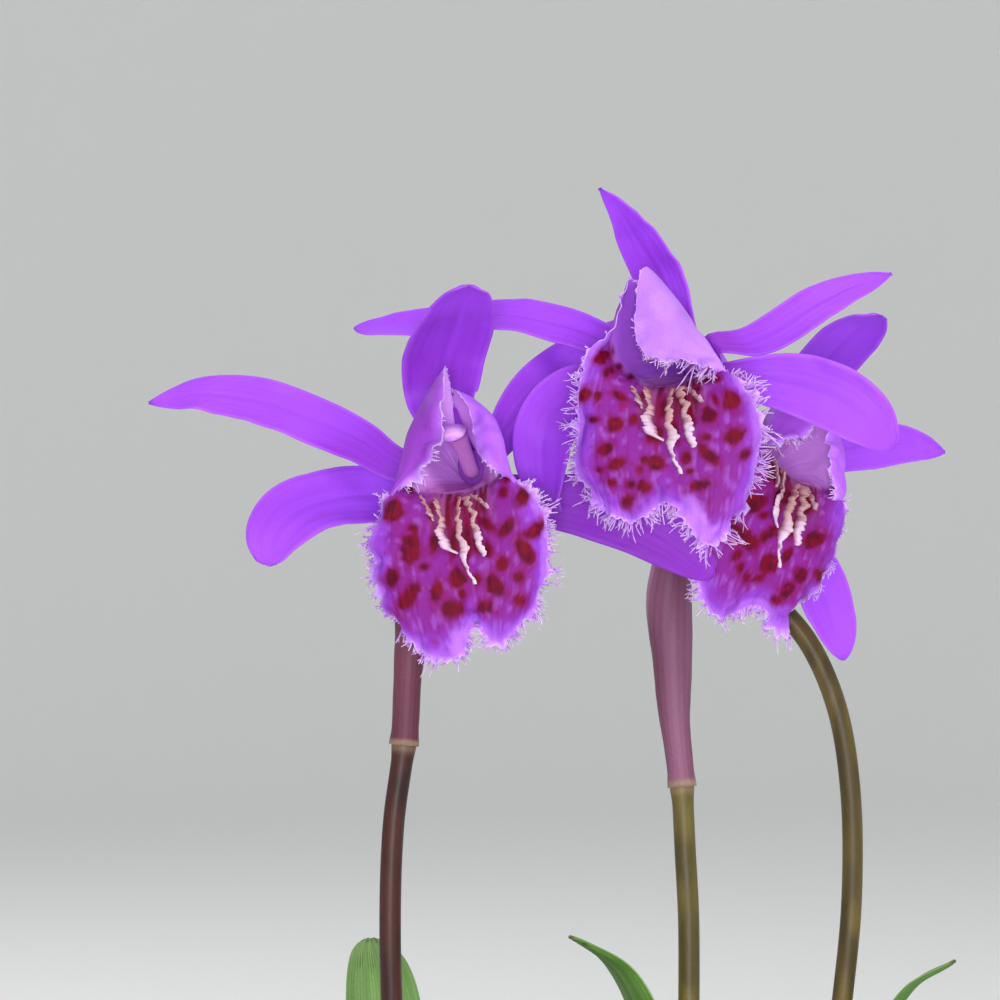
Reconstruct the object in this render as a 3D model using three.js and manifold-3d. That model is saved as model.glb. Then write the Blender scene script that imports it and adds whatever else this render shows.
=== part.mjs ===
// Potted orchid, Pleione bulbocodioides: three flowering shoots in a shallow clay pot.
// Millimetres, +Z up. The origin is the middle of the pot's underside, and the blooms face -Y.
import * as THREE from 'three';
import { mergeVertices } from 'three/addons/utils/BufferGeometryUtils.js';
import { NURBSSurface } from 'three/addons/curves/NURBSSurface.js';
import Module from 'manifold-3d';

const wasm = await Module();
wasm.setup();

// Pot, a half pan of red clay
const POT_HEIGHT = 78;
const POT_RIM_RADIUS = 66;
const POT_BODY_TOP_RADIUS = 62;
const POT_FOOT_RADIUS = 46;
const POT_RIM_BAND = 16;
const POT_WALL = 5;
const POT_FLOOR = 6;
const POT_SIDES = 36;
const DRAIN_RADIUS = 4.5;
const DRAIN_RING_RADIUS = 22;
const DRAIN_COUNT = 3;

// Potting mix of bark chips, and the fit of what stands in it
const GAP = 0.3;
const MIX_LEVEL = 72;
const MIX_RINGS = 9;
const MIX_SIDES = 30;
const MIX_RELIEF = 1.5;
const SHOOT_DEPTH = 11;

// Pseudobulb: height, widest radius and how deep it sits
const BULB_HEIGHT = 23;
const BULB_RADIUS = 8.6;
const BULB_SIDES = 12;
const BULB_DEPTH = 8;

// Scape, pedicel and ovary
const SCAPE_RADIUS = 1.55;
const PEDICEL_RADIUS = 1;
const OVARY_RADIUS = 1.9;
const RECEPTACLE_RADIUS = 3.8;
const NODE_RADIUS = 1.95;
const SCAPE_SIDES = 8;

// Thin parts
const BLADE = 0.7;
const BRACT_THICKNESS = 0.6;
const SHEATH_RADIUS = 3.55;
const SHEATH_HEIGHT = 27;
const LEAF_WIDTH = 13;

// Tepals: ring that they grow from, claw and tip widths
const TEPAL_RING = 3.3;
const TEPAL_START = 0.55;
const SEPAL_NECK = 1.7;
const PETAL_NECK = 3;
const CLAW_WIDTH = 2.3;
const TIP_WIDTH = 0.9;
const TEPAL_ROWS = 9;
const TEPAL_COLUMNS = 5;

// Lip: thickness, fringe and keels
const LIP_THICKNESS = 0.7;
const LIP_ACROSS = 12;
const LIP_ALONG = 15;
const LIP_THROAT = -3;
const LIP_THROAT_FORWARD = 19.6;
const FRINGE_START = 11;
const FRINGE_PITCH = 1.85;
const FRINGE_LENGTH = 2.5;
const KEEL_HEIGHT = 1.1;
const KEEL_HALF_WIDTH = 0.4;
const KEEL_SECTIONS = 11;

// Half-lip rows from base to apex: midvein, quarter and half-way control points as [outward, forward, up]
const LIP_BODY = [
  [[0, 0.4, -1.9], [0.9, 0.4, -1.7], [1.7, 0.4, -0.8]],
  [[0, 4, -2.6], [1.8, 4, -2], [2.6, 4, 0.2]],
  [[0, 9, -3.2], [2.6, 9, -2.2], [4.2, 9, 1]],
  [[0, 13.5, -3.2], [3.6, 13.5, -2.2], [6, 13.8, 1.2]],
  [[0, 17, -3], [4.2, 17.3, -2.4], [7.2, 17.5, 0.2]],
  [[0, 19.6, -4], [4.4, 20, -3.4], [7.8, 20.3, -1.4]],
  [[0, 21.3, -8], [4.6, 21.8, -7.4], [8.8, 22, -5.4]],
  [[0, 22.3, -13.2], [4.6, 22.8, -13.2], [9, 22.8, -12]],
  [[0, 22.8, -17.4], [4, 23.1, -18.8], [7.8, 22.8, -18.2]],
  [[0, 22.6, -18.4], [2.9, 23, -25.2], [6.6, 22.8, -22.8]],
];

// The outer blade is alike on both halves: three-quarter and margin points of the last four rows
const LIP_BLADE_EDGE = [
  [[10.4, 21.6, -4.4], [11.4, 21, -3.6]],
  [[11.6, 22.2, -11], [13, 21, -10]],
  [[10.5, 22.3, -17], [12, 21.5, -15.8]],
  [[8.9, 22.2, -21], [9.9, 21.5, -19.6]],
];

// Side lobes over the column, three-quarter and margin points of the first six rows
const LIP_LOBES = {
  parted_left: [
    [[2, 0.4, 0.2], [1.9, 0.4, 0.9]],
    [[3, 4.3, 4], [0.5, 4.6, 7.2]],
    [[4.4, 9.5, 10], [-0.3, 10, 17.4]],
    [[6.6, 14.6, 9], [-0.1, 15.8, 11.6]],
    [[8.2, 18, 4.6], [0.6, 19, 4.8]],
    [[8.8, 20.2, 0.2], [3, 20.8, 2.2]],
  ],
  parted_right: [
    [[2, 0.4, 0.2], [1.9, 0.4, 0.9]],
    [[2.8, 4.3, 3.6], [0.3, 4.6, 5.8]],
    [[4.4, 9.5, 9], [0, 10, 12.8]],
    [[6.8, 14.2, 8.8], [3.4, 14.6, 9.6]],
    [[8, 17.7, 4.8], [3.9, 18, 5]],
    [[8.4, 20.2, 0.2], [3.8, 20.5, 0.9]],
  ],
  under: [
    [[2, 0.4, 0.2], [1.9, 0.4, 0.9]],
    [[3, 4.3, 2.8], [1.6, 4.6, 5.2]],
    [[6, 9.2, 7], [2.6, 9.4, 13]],
    [[7.4, 13.2, 7], [3.4, 13.4, 14]],
    [[8.8, 16.6, 3.8], [6.2, 16.8, 5.6]],
    [[9.8, 19.8, 0.8], [11.2, 19.6, 3.6]],
  ],
  over: [
    [[2, 0.4, 0.2], [1.9, 0.4, 0.9]],
    [[2.4, 4.3, 3], [0.6, 4.6, 5.4]],
    [[3, 9.8, 8.6], [0, 10.2, 18]],
    [[3.6, 15.2, 8.6], [-2, 15.6, 10]],
    [[5.4, 19, 4], [-4.2, 19, 0.8]],
    [[8.6, 20.8, 0.6], [4.4, 21, 1.4]],
  ],
};

// Keels: across position at the throat and at the free end, and how far along the lip they run
const KEELS = [
  { from: -0.46, to: -0.26, start: 0.56, end: 0.77 },
  { from: -0.2, to: -0.19, start: 0.54, end: 0.86 },
  { from: 0.02, to: 0.08, start: 0.55, end: 0.92 },
  { from: 0.2, to: 0.22, start: 0.54, end: 0.86 },
  { from: 0.42, to: 0.34, start: 0.57, end: 0.76 },
];

// Column inside the lip: centre line as [forward, up] and half width of its wings
const COLUMN_LINE = [
  [0.35, 0.2], [1.1, 0.2], [2.2, 0.8], [4.4, 2.4], [8, 4.4], [11, 5.6], [13.4, 5.4], [15, 4.2],
];
const COLUMN_HALF_WIDTHS = [1.1, 1.1, 1.15, 1.3, 1.6, 2.2, 1.6];
const COLUMN_HALF_HEIGHTS = [1, 1, 1, 1, 1, 1, 0.8];

// Ring angles of the tepals, seen from the front, in degrees from the right
const RING_ANGLES = {
  dorsal_sepal: 90,
  petal_left: 150,
  petal_right: 30,
  lateral_sepal_left: 215,
  lateral_sepal_right: 325,
};

// The three plants. Bloom points are [right, forward, up] from the receptacle, in the bloom's own frame.
// A tepal's turn is how far its blade twists from facing forward, and its cup how far its sides curl.
// A lip's apex moves the free end: one [right, up] for each of its nine columns, from the left edge.
const PLANTS = [
  {
    name: 'a',
    bloom: { at: [-23.1, -10, 194.6], roll: 10, yaw: -8 },
    scape: [
      [-32.5, 2, 61], [-32.5, 2, 78], [-33, 2, 95], [-34.5, 1, 113],
      [-35, 0, 130.5], [-34.5, 0, 144.5], [-33, 0, 156],
      [-32.5, 1, 165], [-32, 2, 173.5], [-31.5, 4, 182], [-29.5, 5, 189.5], [-26.2, 3, 193.6],
    ],
    node: 156,
    bract: { length: 36, foot: 1.65, full: 2.3, opens: 60 },
    bulb: { at: [-42.5, -8.5], scale: 1, turn: 20 },
    leaf: { away: 100, reach: 17, rise: 54, width: 0.9 },
    lip: {
      left: 'parted_left', right: 'parted_right',
      width: 0.95, drop: 0.98, lean: 0, swing: -4,
      apex: [[0, 0], [0, 0], [-0.6, -1.4], [2.6, -1.6], [0.9, 0.6], [0.4, 0], [0, 0], [0, 0], [0, 0]],
    },
    tepals: {
      dorsal_sepal: {
        path: [
          [-2, 1, 7.5], [-2.7, -1.5, 11.4], [-1.3, 0.5, 16.4],
          [1.8, 5.5, 20.4], [4.2, 11, 23.1], [6.1, 16, 24.7],
        ],
        width: 11.6, widest: 0.45, tip: 2, cup: 0.35, turn: 0,
      },
      petal_left: {
        path: [
          [-9, 4.5, 2.5], [-14.5, 2.6, 6.8], [-21, 1, 11.1],
          [-29, 0.5, 15.5], [-36.5, 0.5, 17.6], [-44, 0.5, 17.8],
        ],
        width: 7.2, widest: 0.6, tip: 1.4, cup: 0.4, turn: 20,
      },
      petal_right: {
        path: [[7.5, -3, 7.4], [13.1, -9, 11.6], [19, -15, 14.2], [24.2, -21, 16.7], [28, -25.5, 18]],
        width: 8.4, widest: 0.5, tip: 1.4, cup: 0.4, turn: 0,
      },
      lateral_sepal_left: {
        path: [[-12, 0.3, -1.2], [-18.5, 2, -0.4], [-24, 5.5, -1], [-27.5, 8, -3.5], [-30.2, 9, -7.6]],
        width: 10.2, widest: 0.66, tip: 2, cup: 0.35, turn: 15,
      },
      lateral_sepal_right: {
        path: [[9, 1, -5.5], [15, 0, -7.4], [21.5, -1.5, -10.8], [26.5, -2, -15.2], [30.4, -3.5, -20.4]],
        width: 9.5, widest: 0.55, tip: 1.7, cup: 0.3, turn: 0,
      },
    },
  },
  {
    name: 'b',
    bloom: { at: [8.3, -6, 209.7], roll: 15, yaw: -10 },
    scape: [
      [8, 6, 61], [8, 6, 78], [8, 6.6, 95], [8, 7.6, 112], [8, 8, 130], [7.5, 8, 140], [7, 8, 149.5],
      [6, 9, 159.5], [5.5, 10, 170.5], [5, 10, 182], [5.5, 10, 193.5], [6, 9, 202.5], [8.6, 4.5, 208.6],
    ],
    node: 149.5,
    bract: { length: 45, foot: 1.65, full: 3.4, opens: 150 },
    bulb: { at: [3.5, -8.5], scale: 0.94, turn: 50 },
    leaf: { away: 200, reach: 16, rise: 56, width: 1 },
    lip: {
      left: 'under', right: 'over',
      width: 1, drop: 0.92, lean: -2, swing: -15,
      apex: [
        [0, 0], [0, 0], [0, 0.4], [-0.6, 1.2], [0.6, 0.6],
        [2.4, -2.4], [1, -2.6], [0.6, -1.4], [0, -1.2],
      ],
    },
    tepals: {
      dorsal_sepal: {
        path: [[-1, 1.2, 8], [-1.6, 1, 14], [-2.6, 4.5, 19], [-3.4, 9, 23], [-5, 13, 26.5]],
        width: 7.7, widest: 0.32, tip: 1.2, cup: 0.75, turn: 0,
      },
      petal_left: {
        path: [
          [-9.5, 4, 5.5], [-16, 3, 10], [-23, 2.5, 13.4],
          [-31, 2, 15.2], [-39, 1.5, 16.6], [-46, 0.5, 18.2],
        ],
        width: 6.4, widest: 0.6, tip: 1.9, cup: 0.4, turn: 45,
      },
      petal_right: {
        path: [[8, -0.9, 1.1], [12.5, -5, 2.2], [18, -9, 4.4], [23.5, -13, 5.6], [29, -17, 6.4]],
        width: 5.9, widest: 0.5, tip: 1.4, cup: 0.4, turn: 0,
      },
      lateral_sepal_left: {
        path: [
          [-10.5, 9, -0.5], [-15.5, 14, -0.5], [-20, 16.5, -3.5],
          [-22, 16.5, -8], [-22.5, 15.5, -12.5], [-22, 13.5, -15.5],
        ],
        width: 9, widest: 0.6, tip: 1.6, cup: 0.45, turn: 0,
      },
      lateral_sepal_right: {
        path: [[9, 0.7, -4.5], [13.5, 0.5, -6.5], [18, 0.5, -9.6], [21.5, 0, -13.6], [24, -2, -18.6]],
        width: 9.6, widest: 0.6, tip: 1.6, cup: 0.35, turn: 0,
      },
    },
  },
  {
    name: 'c',
    bloom: { at: [18, 22, 195.2], roll: -25, yaw: 28 },
    scape: [
      [29.5, 22, 61], [29.5, 22, 78], [30, 24, 95], [31.5, 28, 112],
      [33.5, 31, 130], [33.5, 33, 147], [31.5, 34, 159.5],
      [27.5, 34, 168.8], [22.6, 34, 174.9], [17.4, 34, 180.5], [13.8, 33, 186], [12.6, 30.5, 191],
      [14.4, 27, 194.4],
    ],
    node: 177.5,
    bract: { length: 17, foot: 1.85, full: 2.9, opens: 200 },
    bulb: { at: [41.5, 13.5], scale: 0.9, turn: 80 },
    leaf: { away: 345, reach: 14, rise: 50, width: 0.85 },
    lip: {
      left: 'parted_left', right: 'parted_right',
      width: 0.86, drop: 1, lean: -3.5, swing: -9,
      apex: [[0, -3], [0, -3], [1, -4], [2, -3.6], [2.8, -2.2], [5, 0.6], [3, 0.4], [0, 0], [0, 0]],
    },
    tepals: {
      dorsal_sepal: {
        path: [[2, 2.5, 10], [1.5, 4.5, 16], [1, 9, 20.5], [0, 15, 23], [-1, 21, 24]],
        width: 9.5, widest: 0.55, tip: 1.6, cup: 0.4, turn: 0,
      },
      petal_left: {
        path: [[-5, -5, 7.5], [-5, -12, 12], [-4.5, -20, 17], [-3.5, -28, 22]],
        width: 7, widest: 0.6, tip: 1.4, cup: 0.4, turn: 0,
      },
      petal_right: {
        path: [[11.5, -2.5, 8], [19.5, -6, 13], [28, -8.5, 17.5], [36, -10, 20]],
        width: 7.2, widest: 0.6, tip: 1.4, cup: 0.4, turn: 0,
      },
      lateral_sepal_left: {
        path: [[-8, 7.5, -8.5], [-13.5, 11.5, -13], [-18.5, 12.5, -16], [-23, 12, -17], [-26.5, 11.5, -17]],
        width: 8.6, widest: 0.5, tip: 1.5, cup: 0.35, turn: 0,
      },
      lateral_sepal_right: {
        path: [[10, 0.5, -6], [16.5, 0.5, -10], [22, 0.5, -14.5], [25.5, 2, -19.5]],
        width: 9, widest: 0.6, tip: 1.6, cup: 0.35, turn: 0,
      },
    },
  },
];

// Materials, one plain finish for each kind of surface
function finish(color, roughness) {
  return new THREE.MeshStandardMaterial({ color, roughness, metalness: 0 });
}

const MATERIALS = {
  clay: () => finish(0xa9603f, 0.9),
  bark: () => finish(0x4a3222, 0.95),
  bulb: () => finish(0x4f6b35, 0.55),
  sheath: () => finish(0x8a7a52, 0.8),
  leaf: () => finish(0x5d8c3a, 0.5),
  scape: () => finish(0x6b4a32, 0.5),
  bract: () => finish(0x9c5578, 0.6),
  tepal: () => finish(0x9a44e0, 0.55),
  lip: () => finish(0xb04fd0, 0.6),
  column: () => finish(0xc98fd8, 0.5),
};

// A repeatable stream of numbers from 0 to 1
function seededRandom(seed) {
  let state = seed;
  return () => {
    state = (state * 16807) % 2147483647;
    return state / 2147483647;
  };
}

function vector(values) {
  return new THREE.Vector3(values[0], values[1], values[2]);
}

// [right, forward, up] in a bloom to x, y, z in the bloom's frame, where forward is -Y
function bloomPoint([right, forward, up]) {
  return new THREE.Vector3(right, -forward, up);
}

function smoothstep(value) {
  const x = Math.min(1, Math.max(0, value));
  return x * x * (3 - 2 * x);
}

// Straight-line reading of a list of values, t from 0 to 1 over the list
function readList(values, t) {
  const place = Math.min(values.length - 1.000001, Math.max(0, t * (values.length - 1)));
  const index = Math.floor(place);
  return THREE.MathUtils.lerp(values[index], values[index + 1], place - index);
}

function geometryFrom(positions, triangles) {
  const geometry = new THREE.BufferGeometry();
  geometry.setAttribute('position', new THREE.Float32BufferAttribute(positions, 3));
  geometry.setIndex(triangles);
  return geometry;
}

// Six times the signed volume tells which way the faces look
function facesOut(points, triangles) {
  let sum = 0;
  const cross = new THREE.Vector3();
  for (const [a, b, c] of triangles) {
    cross.crossVectors(points[b], points[c]);
    sum += cross.dot(points[a]);
  }
  return sum > 0;
}

function solidFrom(points, triangles) {
  const ordered = facesOut(points, triangles) ? triangles : triangles.map(([a, b, c]) => [a, c, b]);
  return geometryFrom(points.flatMap((point) => point.toArray()), ordered.flat());
}

// Gives a sheet of mid points its thickness: two faces split alike and a wall round every open edge
function thicken(points, normals, halves, triangles) {
  const count = points.length;
  const front = points.map((point, i) => point.clone().addScaledVector(normals[i], halves[i]));
  const back = points.map((point, i) => point.clone().addScaledVector(normals[i], -halves[i]));
  const faces = [];
  const edges = new Map();
  for (const [a, b, c] of triangles) {
    faces.push([a, b, c], [a + count, c + count, b + count]);
    for (const [p, q] of [[a, b], [b, c], [c, a]]) {
      const opposite = `${q} ${p}`;
      if (edges.has(opposite)) {
        edges.delete(opposite);
      } else {
        edges.set(`${p} ${q}`, [p, q]);
      }
    }
  }
  for (const [p, q] of edges.values()) {
    faces.push([q, p, p + count], [q, p + count, q + count]);
  }
  return solidFrom([...front, ...back], faces);
}

// Unit normal of a surface(t, s) by small steps kept inside the sheet
function surfaceNormal(surface, t, s, sLow) {
  const step = 0.004;
  const tBefore = Math.max(0, t - step);
  const tAfter = Math.min(1, t + step);
  const sBefore = Math.max(sLow, s - step);
  const sAfter = Math.min(1, s + step);
  const along = surface(tAfter, s).sub(surface(tBefore, s));
  const across = surface(t, sAfter).sub(surface(t, sBefore));
  return across.cross(along).normalize();
}

// A thin body on surface(t, s), with t from 0 to 1 along it and s from -1 to 1 across
function thinSheet(surface, rowPlaces, columns, thickness) {
  const points = [];
  const normals = [];
  for (const t of rowPlaces) {
    for (let column = 0; column <= columns; column++) {
      const s = -1 + (2 * column) / columns;
      points.push(surface(t, s));
      normals.push(surfaceNormal(surface, t, s, -1));
    }
  }
  const triangles = [];
  for (let row = 0; row < rowPlaces.length - 1; row++) {
    for (let column = 0; column < columns; column++) {
      const a = row * (columns + 1) + column;
      const b = a + columns + 1;
      triangles.push([a, a + 1, b + 1], [a, b + 1, b]);
    }
  }
  return thicken(points, normals, points.map(() => thickness / 2), triangles);
}

// Places from 0 to 1, closer together towards the end as the power grows
function places(count, power = 1) {
  return Array.from({ length: count + 1 }, (_, i) => 1 - (1 - i / count) ** power);
}

function toSolid(geometry) {
  const bare = geometry.clone();
  bare.deleteAttribute('normal');
  bare.deleteAttribute('uv');
  const merged = mergeVertices(bare, 1e-4);
  const vertProperties = new Float32Array(merged.attributes.position.array);
  const triVerts = new Uint32Array(merged.index.array);
  return new wasm.Manifold(new wasm.Mesh({ numProp: 3, vertProperties, triVerts }));
}

function fromSolid(solid) {
  const mesh = solid.getMesh();
  return geometryFrom(Array.from(mesh.vertProperties), Array.from(mesh.triVerts));
}

// A turned body standing on +Z from a profile of [radius, height]
function turned(profile, sides) {
  const outline = profile.map(([radius, height]) => new THREE.Vector2(radius, height));
  const geometry = new THREE.LatheGeometry(outline, sides);
  return geometry.rotateX(Math.PI / 2);
}

function cylinderSolid(radius, bottom, top, sides, x, y) {
  const geometry = new THREE.CylinderGeometry(radius, radius, top - bottom, sides);
  geometry.rotateX(Math.PI / 2);
  geometry.translate(x, y, (top + bottom) / 2);
  return toSolid(geometry);
}

// Inner radius of the pot at a height above its floor
function potInnerRadius(height) {
  const foot = POT_FOOT_RADIUS - POT_WALL;
  const rim = POT_RIM_RADIUS - POT_WALL;
  return foot + ((rim - foot) * (height - POT_FLOOR)) / (POT_HEIGHT - POT_FLOOR);
}

function makePot() {
  const edge = 1.2;
  const bandBottom = POT_HEIGHT - POT_RIM_BAND;
  const profile = [
    [0, 0], [POT_FOOT_RADIUS - edge, 0], [POT_FOOT_RADIUS, edge],
    [POT_BODY_TOP_RADIUS, bandBottom], [POT_RIM_RADIUS - edge, bandBottom],
    [POT_RIM_RADIUS, bandBottom + edge], [POT_RIM_RADIUS, POT_HEIGHT - edge],
    [POT_RIM_RADIUS - edge, POT_HEIGHT], [potInnerRadius(POT_HEIGHT), POT_HEIGHT],
    [potInnerRadius(POT_FLOOR + 3 * edge), POT_FLOOR + 3 * edge],
    [potInnerRadius(POT_FLOOR) - 3 * edge, POT_FLOOR], [0, POT_FLOOR],
  ];
  let pot = toSolid(turned(profile, POT_SIDES));
  for (let i = 0; i < DRAIN_COUNT; i++) {
    const angle = (2 * Math.PI * (i + 0.25)) / DRAIN_COUNT;
    const x = DRAIN_RING_RADIUS * Math.cos(angle);
    const y = DRAIN_RING_RADIUS * Math.sin(angle);
    pot = pot.subtract(cylinderSolid(DRAIN_RADIUS, -1, POT_FLOOR + 1, 12, x, y));
  }
  return fromSolid(pot);
}

// Pseudobulb profile of [radius, height], drawn in to a beak where last year's leaf fell
const BULB_PROFILE = [
  [0, 0], [0.52, 0.02], [0.87, 0.11], [1, 0.28], [0.96, 0.45],
  [0.78, 0.64], [0.5, 0.79], [0.3, 0.87], [0.27, 0.93], [0.2, 0.985], [0, 1],
];

function bulbFoot(plant) {
  return MIX_LEVEL - BULB_DEPTH * plant.bulb.scale;
}

function makeBulb(plant) {
  const { scale, turn } = plant.bulb;
  const profile = BULB_PROFILE.map(([radius, height]) => [
    radius * BULB_RADIUS * scale, height * BULB_HEIGHT * scale,
  ]);
  const geometry = turned(profile, BULB_SIDES);
  geometry.rotateZ(THREE.MathUtils.degToRad(turn));
  return fromSolid(toSolid(geometry));
}

// The hollow that a pseudobulb has pressed in the mix, straight above its widest place
function bulbHollow(plant) {
  const [x, y] = plant.bulb.at;
  const scale = plant.bulb.scale;
  const widest = BULB_RADIUS * scale + GAP;
  const belly = 0.28 * BULB_HEIGHT * scale;
  const profile = [
    [0, -GAP], [0.52 * widest, -GAP], [0.87 * widest + GAP, 0.11 * BULB_HEIGHT * scale - GAP],
    [widest + GAP / 3, belly - GAP], [widest + GAP / 3, BULB_HEIGHT], [0, BULB_HEIGHT],
  ];
  const geometry = turned(profile, BULB_SIDES + 4);
  geometry.translate(x, y, bulbFoot(plant));
  return toSolid(geometry);
}

// Potting mix: a settled, chippy top, with a hollow for each pseudobulb and a hole for each shoot
function makeMix() {
  const random = seededRandom(41);
  const bottom = POT_FLOOR + GAP;
  const top = [new THREE.Vector3(0, 0, MIX_LEVEL + 0.5)];
  const wallClearance = GAP + 0.7;
  for (let ring = 1; ring <= MIX_RINGS; ring++) {
    const outermost = ring === MIX_RINGS;
    for (let side = 0; side < MIX_SIDES; side++) {
      const shift = outermost ? 0 : (random() - 0.5) * 0.8;
      const angle = (2 * Math.PI * (side + (ring % 2) * 0.5 * (outermost ? 0 : 1) + shift)) / MIX_SIDES;
      const height = MIX_LEVEL + (outermost ? -1 : (random() - 0.4) * 2 * MIX_RELIEF);
      const edge = potInnerRadius(MIX_LEVEL - 1) - wallClearance;
      const radius = (edge * (ring + (outermost ? 0 : (random() - 0.5) * 0.5))) / MIX_RINGS;
      top.push(new THREE.Vector3(radius * Math.cos(angle), radius * Math.sin(angle), height));
    }
  }
  const points = [...top];
  const footRadius = potInnerRadius(POT_FLOOR + 3.6) - 3.6 - 1.8 * wallClearance;
  const shoulder = potInnerRadius(POT_FLOOR + 4) - wallClearance;
  for (const [radius, height] of [[shoulder, POT_FLOOR + 4.5], [footRadius, bottom]]) {
    for (let side = 0; side < MIX_SIDES; side++) {
      const angle = (2 * Math.PI * side) / MIX_SIDES;
      points.push(new THREE.Vector3(radius * Math.cos(angle), radius * Math.sin(angle), height));
    }
  }
  points.push(new THREE.Vector3(0, 0, bottom));
  const triangles = [];
  const at = (ring, side) => 1 + (ring - 1) * MIX_SIDES + (side % MIX_SIDES);
  const last = MIX_RINGS + 2;
  for (let side = 0; side < MIX_SIDES; side++) {
    triangles.push([0, at(1, side), at(1, side + 1)]);
    for (let ring = 1; ring < last; ring++) {
      const a = at(ring, side);
      const b = at(ring + 1, side);
      triangles.push([a, b, at(ring + 1, side + 1)], [a, at(ring + 1, side + 1), at(ring, side + 1)]);
    }
    triangles.push([points.length - 1, at(last, side + 1), at(last, side)]);
  }
  let mix = toSolid(solidFrom(points, triangles));
  for (const plant of PLANTS) {
    const [x, y, foot] = plant.scape[0];
    const holeRadius = SHEATH_RADIUS + BRACT_THICKNESS / 2 + 2 * GAP;
    mix = mix.subtract(bulbHollow(plant));
    mix = mix.subtract(cylinderSolid(holeRadius, foot - GAP, MIX_LEVEL + 9, 12, x, y));
  }
  return fromSolid(mix);
}

// Frame across a curve at t, with its first axis as near world X as the curve allows
function crossFrame(curve, t) {
  const tangent = curve.getTangentAt(t);
  const first = new THREE.Vector3(1, 0, 0).addScaledVector(tangent, -tangent.x).normalize();
  const second = tangent.clone().cross(first);
  return { centre: curve.getPointAt(t), first, second };
}

// A tube of changing round or oval section along a curve, closed at both ends
function taperedTube(curve, ringPlaces, sides, halfWidth, halfHeight) {
  const points = [];
  for (const t of ringPlaces) {
    const { centre, first, second } = crossFrame(curve, t);
    for (let side = 0; side < sides; side++) {
      const angle = (2 * Math.PI * side) / sides;
      const point = centre.clone();
      point.addScaledVector(first, halfWidth(t) * Math.cos(angle));
      point.addScaledVector(second, halfHeight(t) * Math.sin(angle));
      points.push(point);
    }
  }
  const triangles = [];
  const rings = ringPlaces.length;
  for (let ring = 0; ring < rings - 1; ring++) {
    for (let side = 0; side < sides; side++) {
      const next = (side + 1) % sides;
      const a = ring * sides;
      const b = a + sides;
      triangles.push([a + side, a + next, b + next], [a + side, b + next, b + side]);
    }
  }
  const end = (rings - 1) * sides;
  for (let side = 1; side < sides - 1; side++) {
    triangles.push([0, side + 1, side], [end, end + side, end + side + 1]);
  }
  return solidFrom(points, triangles);
}

// Turn that carries a bloom's own frame into place
function bloomTurn({ roll, yaw }) {
  const { degToRad } = THREE.MathUtils;
  return new THREE.Euler(0, degToRad(-roll), degToRad(yaw), 'ZYX');
}

// The stem's centre line, which ends square on the receptacle
function scapeCurve(plant) {
  const forward = bloomPoint([0, 1, 0]).applyEuler(bloomTurn(plant.bloom));
  const receptacle = vector(plant.bloom.at);
  const points = plant.scape.map(vector);
  points.push(receptacle.clone().addScaledVector(forward, -3), receptacle);
  return new THREE.CatmullRomCurve3(points, false, 'centripetal');
}

// Share of a curve's length at which it first reaches a height
function placeAtHeight(curve, height) {
  let low = 0;
  let high = 1;
  for (let step = 0; step < 30; step++) {
    const middle = (low + high) / 2;
    if (curve.getPointAt(middle).z < height) {
      low = middle;
    } else {
      high = middle;
    }
  }
  return low;
}

// Radius of scape, pedicel, ovary and receptacle at a share t of the length
function scapeRadius(t, node, length) {
  const toEnd = (1 - t) * length;
  const pastNode = (t - node) * length;
  if (pastNode < 0) {
    const swelling = (NODE_RADIUS - SCAPE_RADIUS) * Math.exp(-((pastNode / 2) ** 2));
    return SCAPE_RADIUS + swelling;
  }
  const pedicel = THREE.MathUtils.lerp(PEDICEL_RADIUS, OVARY_RADIUS, smoothstep((28 - toEnd) / 20));
  return THREE.MathUtils.lerp(RECEPTACLE_RADIUS, pedicel, smoothstep(toEnd / 9));
}

function makeScape(plant) {
  const curve = scapeCurve(plant);
  const length = curve.getLength();
  const node = placeAtHeight(curve, plant.node);
  const lower = [0, 1, 2, 3, 4, 5].map((step) => (step / 6) * node);
  const around = [node - 3 / length, node - 1.2 / length, node - 0.001 / length, node + 0.5 / length];
  const shares = [0.2, 0.38, 0.52, 0.63, 0.71, 0.78, 0.84, 0.9, 0.95, 1];
  const upper = shares.map((share) => node + (1 - node) * share);
  const radius = (t) => scapeRadius(t, node, length);
  return taperedTube(curve, [...lower, ...around, ...upper], SCAPE_SIDES, radius, radius);
}

// A sheet rolled round a curve: radius and half angle are functions of t, and it opens at one side
function rolledSurface(curve, from, to, radius, halfAngle, opensAt) {
  const opening = THREE.MathUtils.degToRad(opensAt) + Math.PI;
  return (t, s) => {
    const { centre, first, second } = crossFrame(curve, THREE.MathUtils.lerp(from, to, t));
    const angle = opening + s * halfAngle(t);
    centre.addScaledVector(first, radius(t) * Math.cos(angle));
    return centre.addScaledVector(second, radius(t) * Math.sin(angle));
  };
}

function makeBract(plant) {
  const curve = scapeCurve(plant);
  const length = curve.getLength();
  const start = placeAtHeight(curve, plant.node) + 0.8 / length;
  const { length: reach, foot, full, opens } = plant.bract;
  const radius = (t) => THREE.MathUtils.lerp(foot, full, smoothstep(t / 0.7));
  const wrap = THREE.MathUtils.degToRad(158);
  const halfAngle = (t) => wrap * (t < 0.45 ? 1 : Math.max(0.07, 1 - ((t - 0.45) / 0.55) ** 1.5));
  const surface = rolledSurface(curve, start, start + reach / length, radius, halfAngle, opens);
  return thinSheet(surface, places(8), 8, BRACT_THICKNESS);
}

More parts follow.
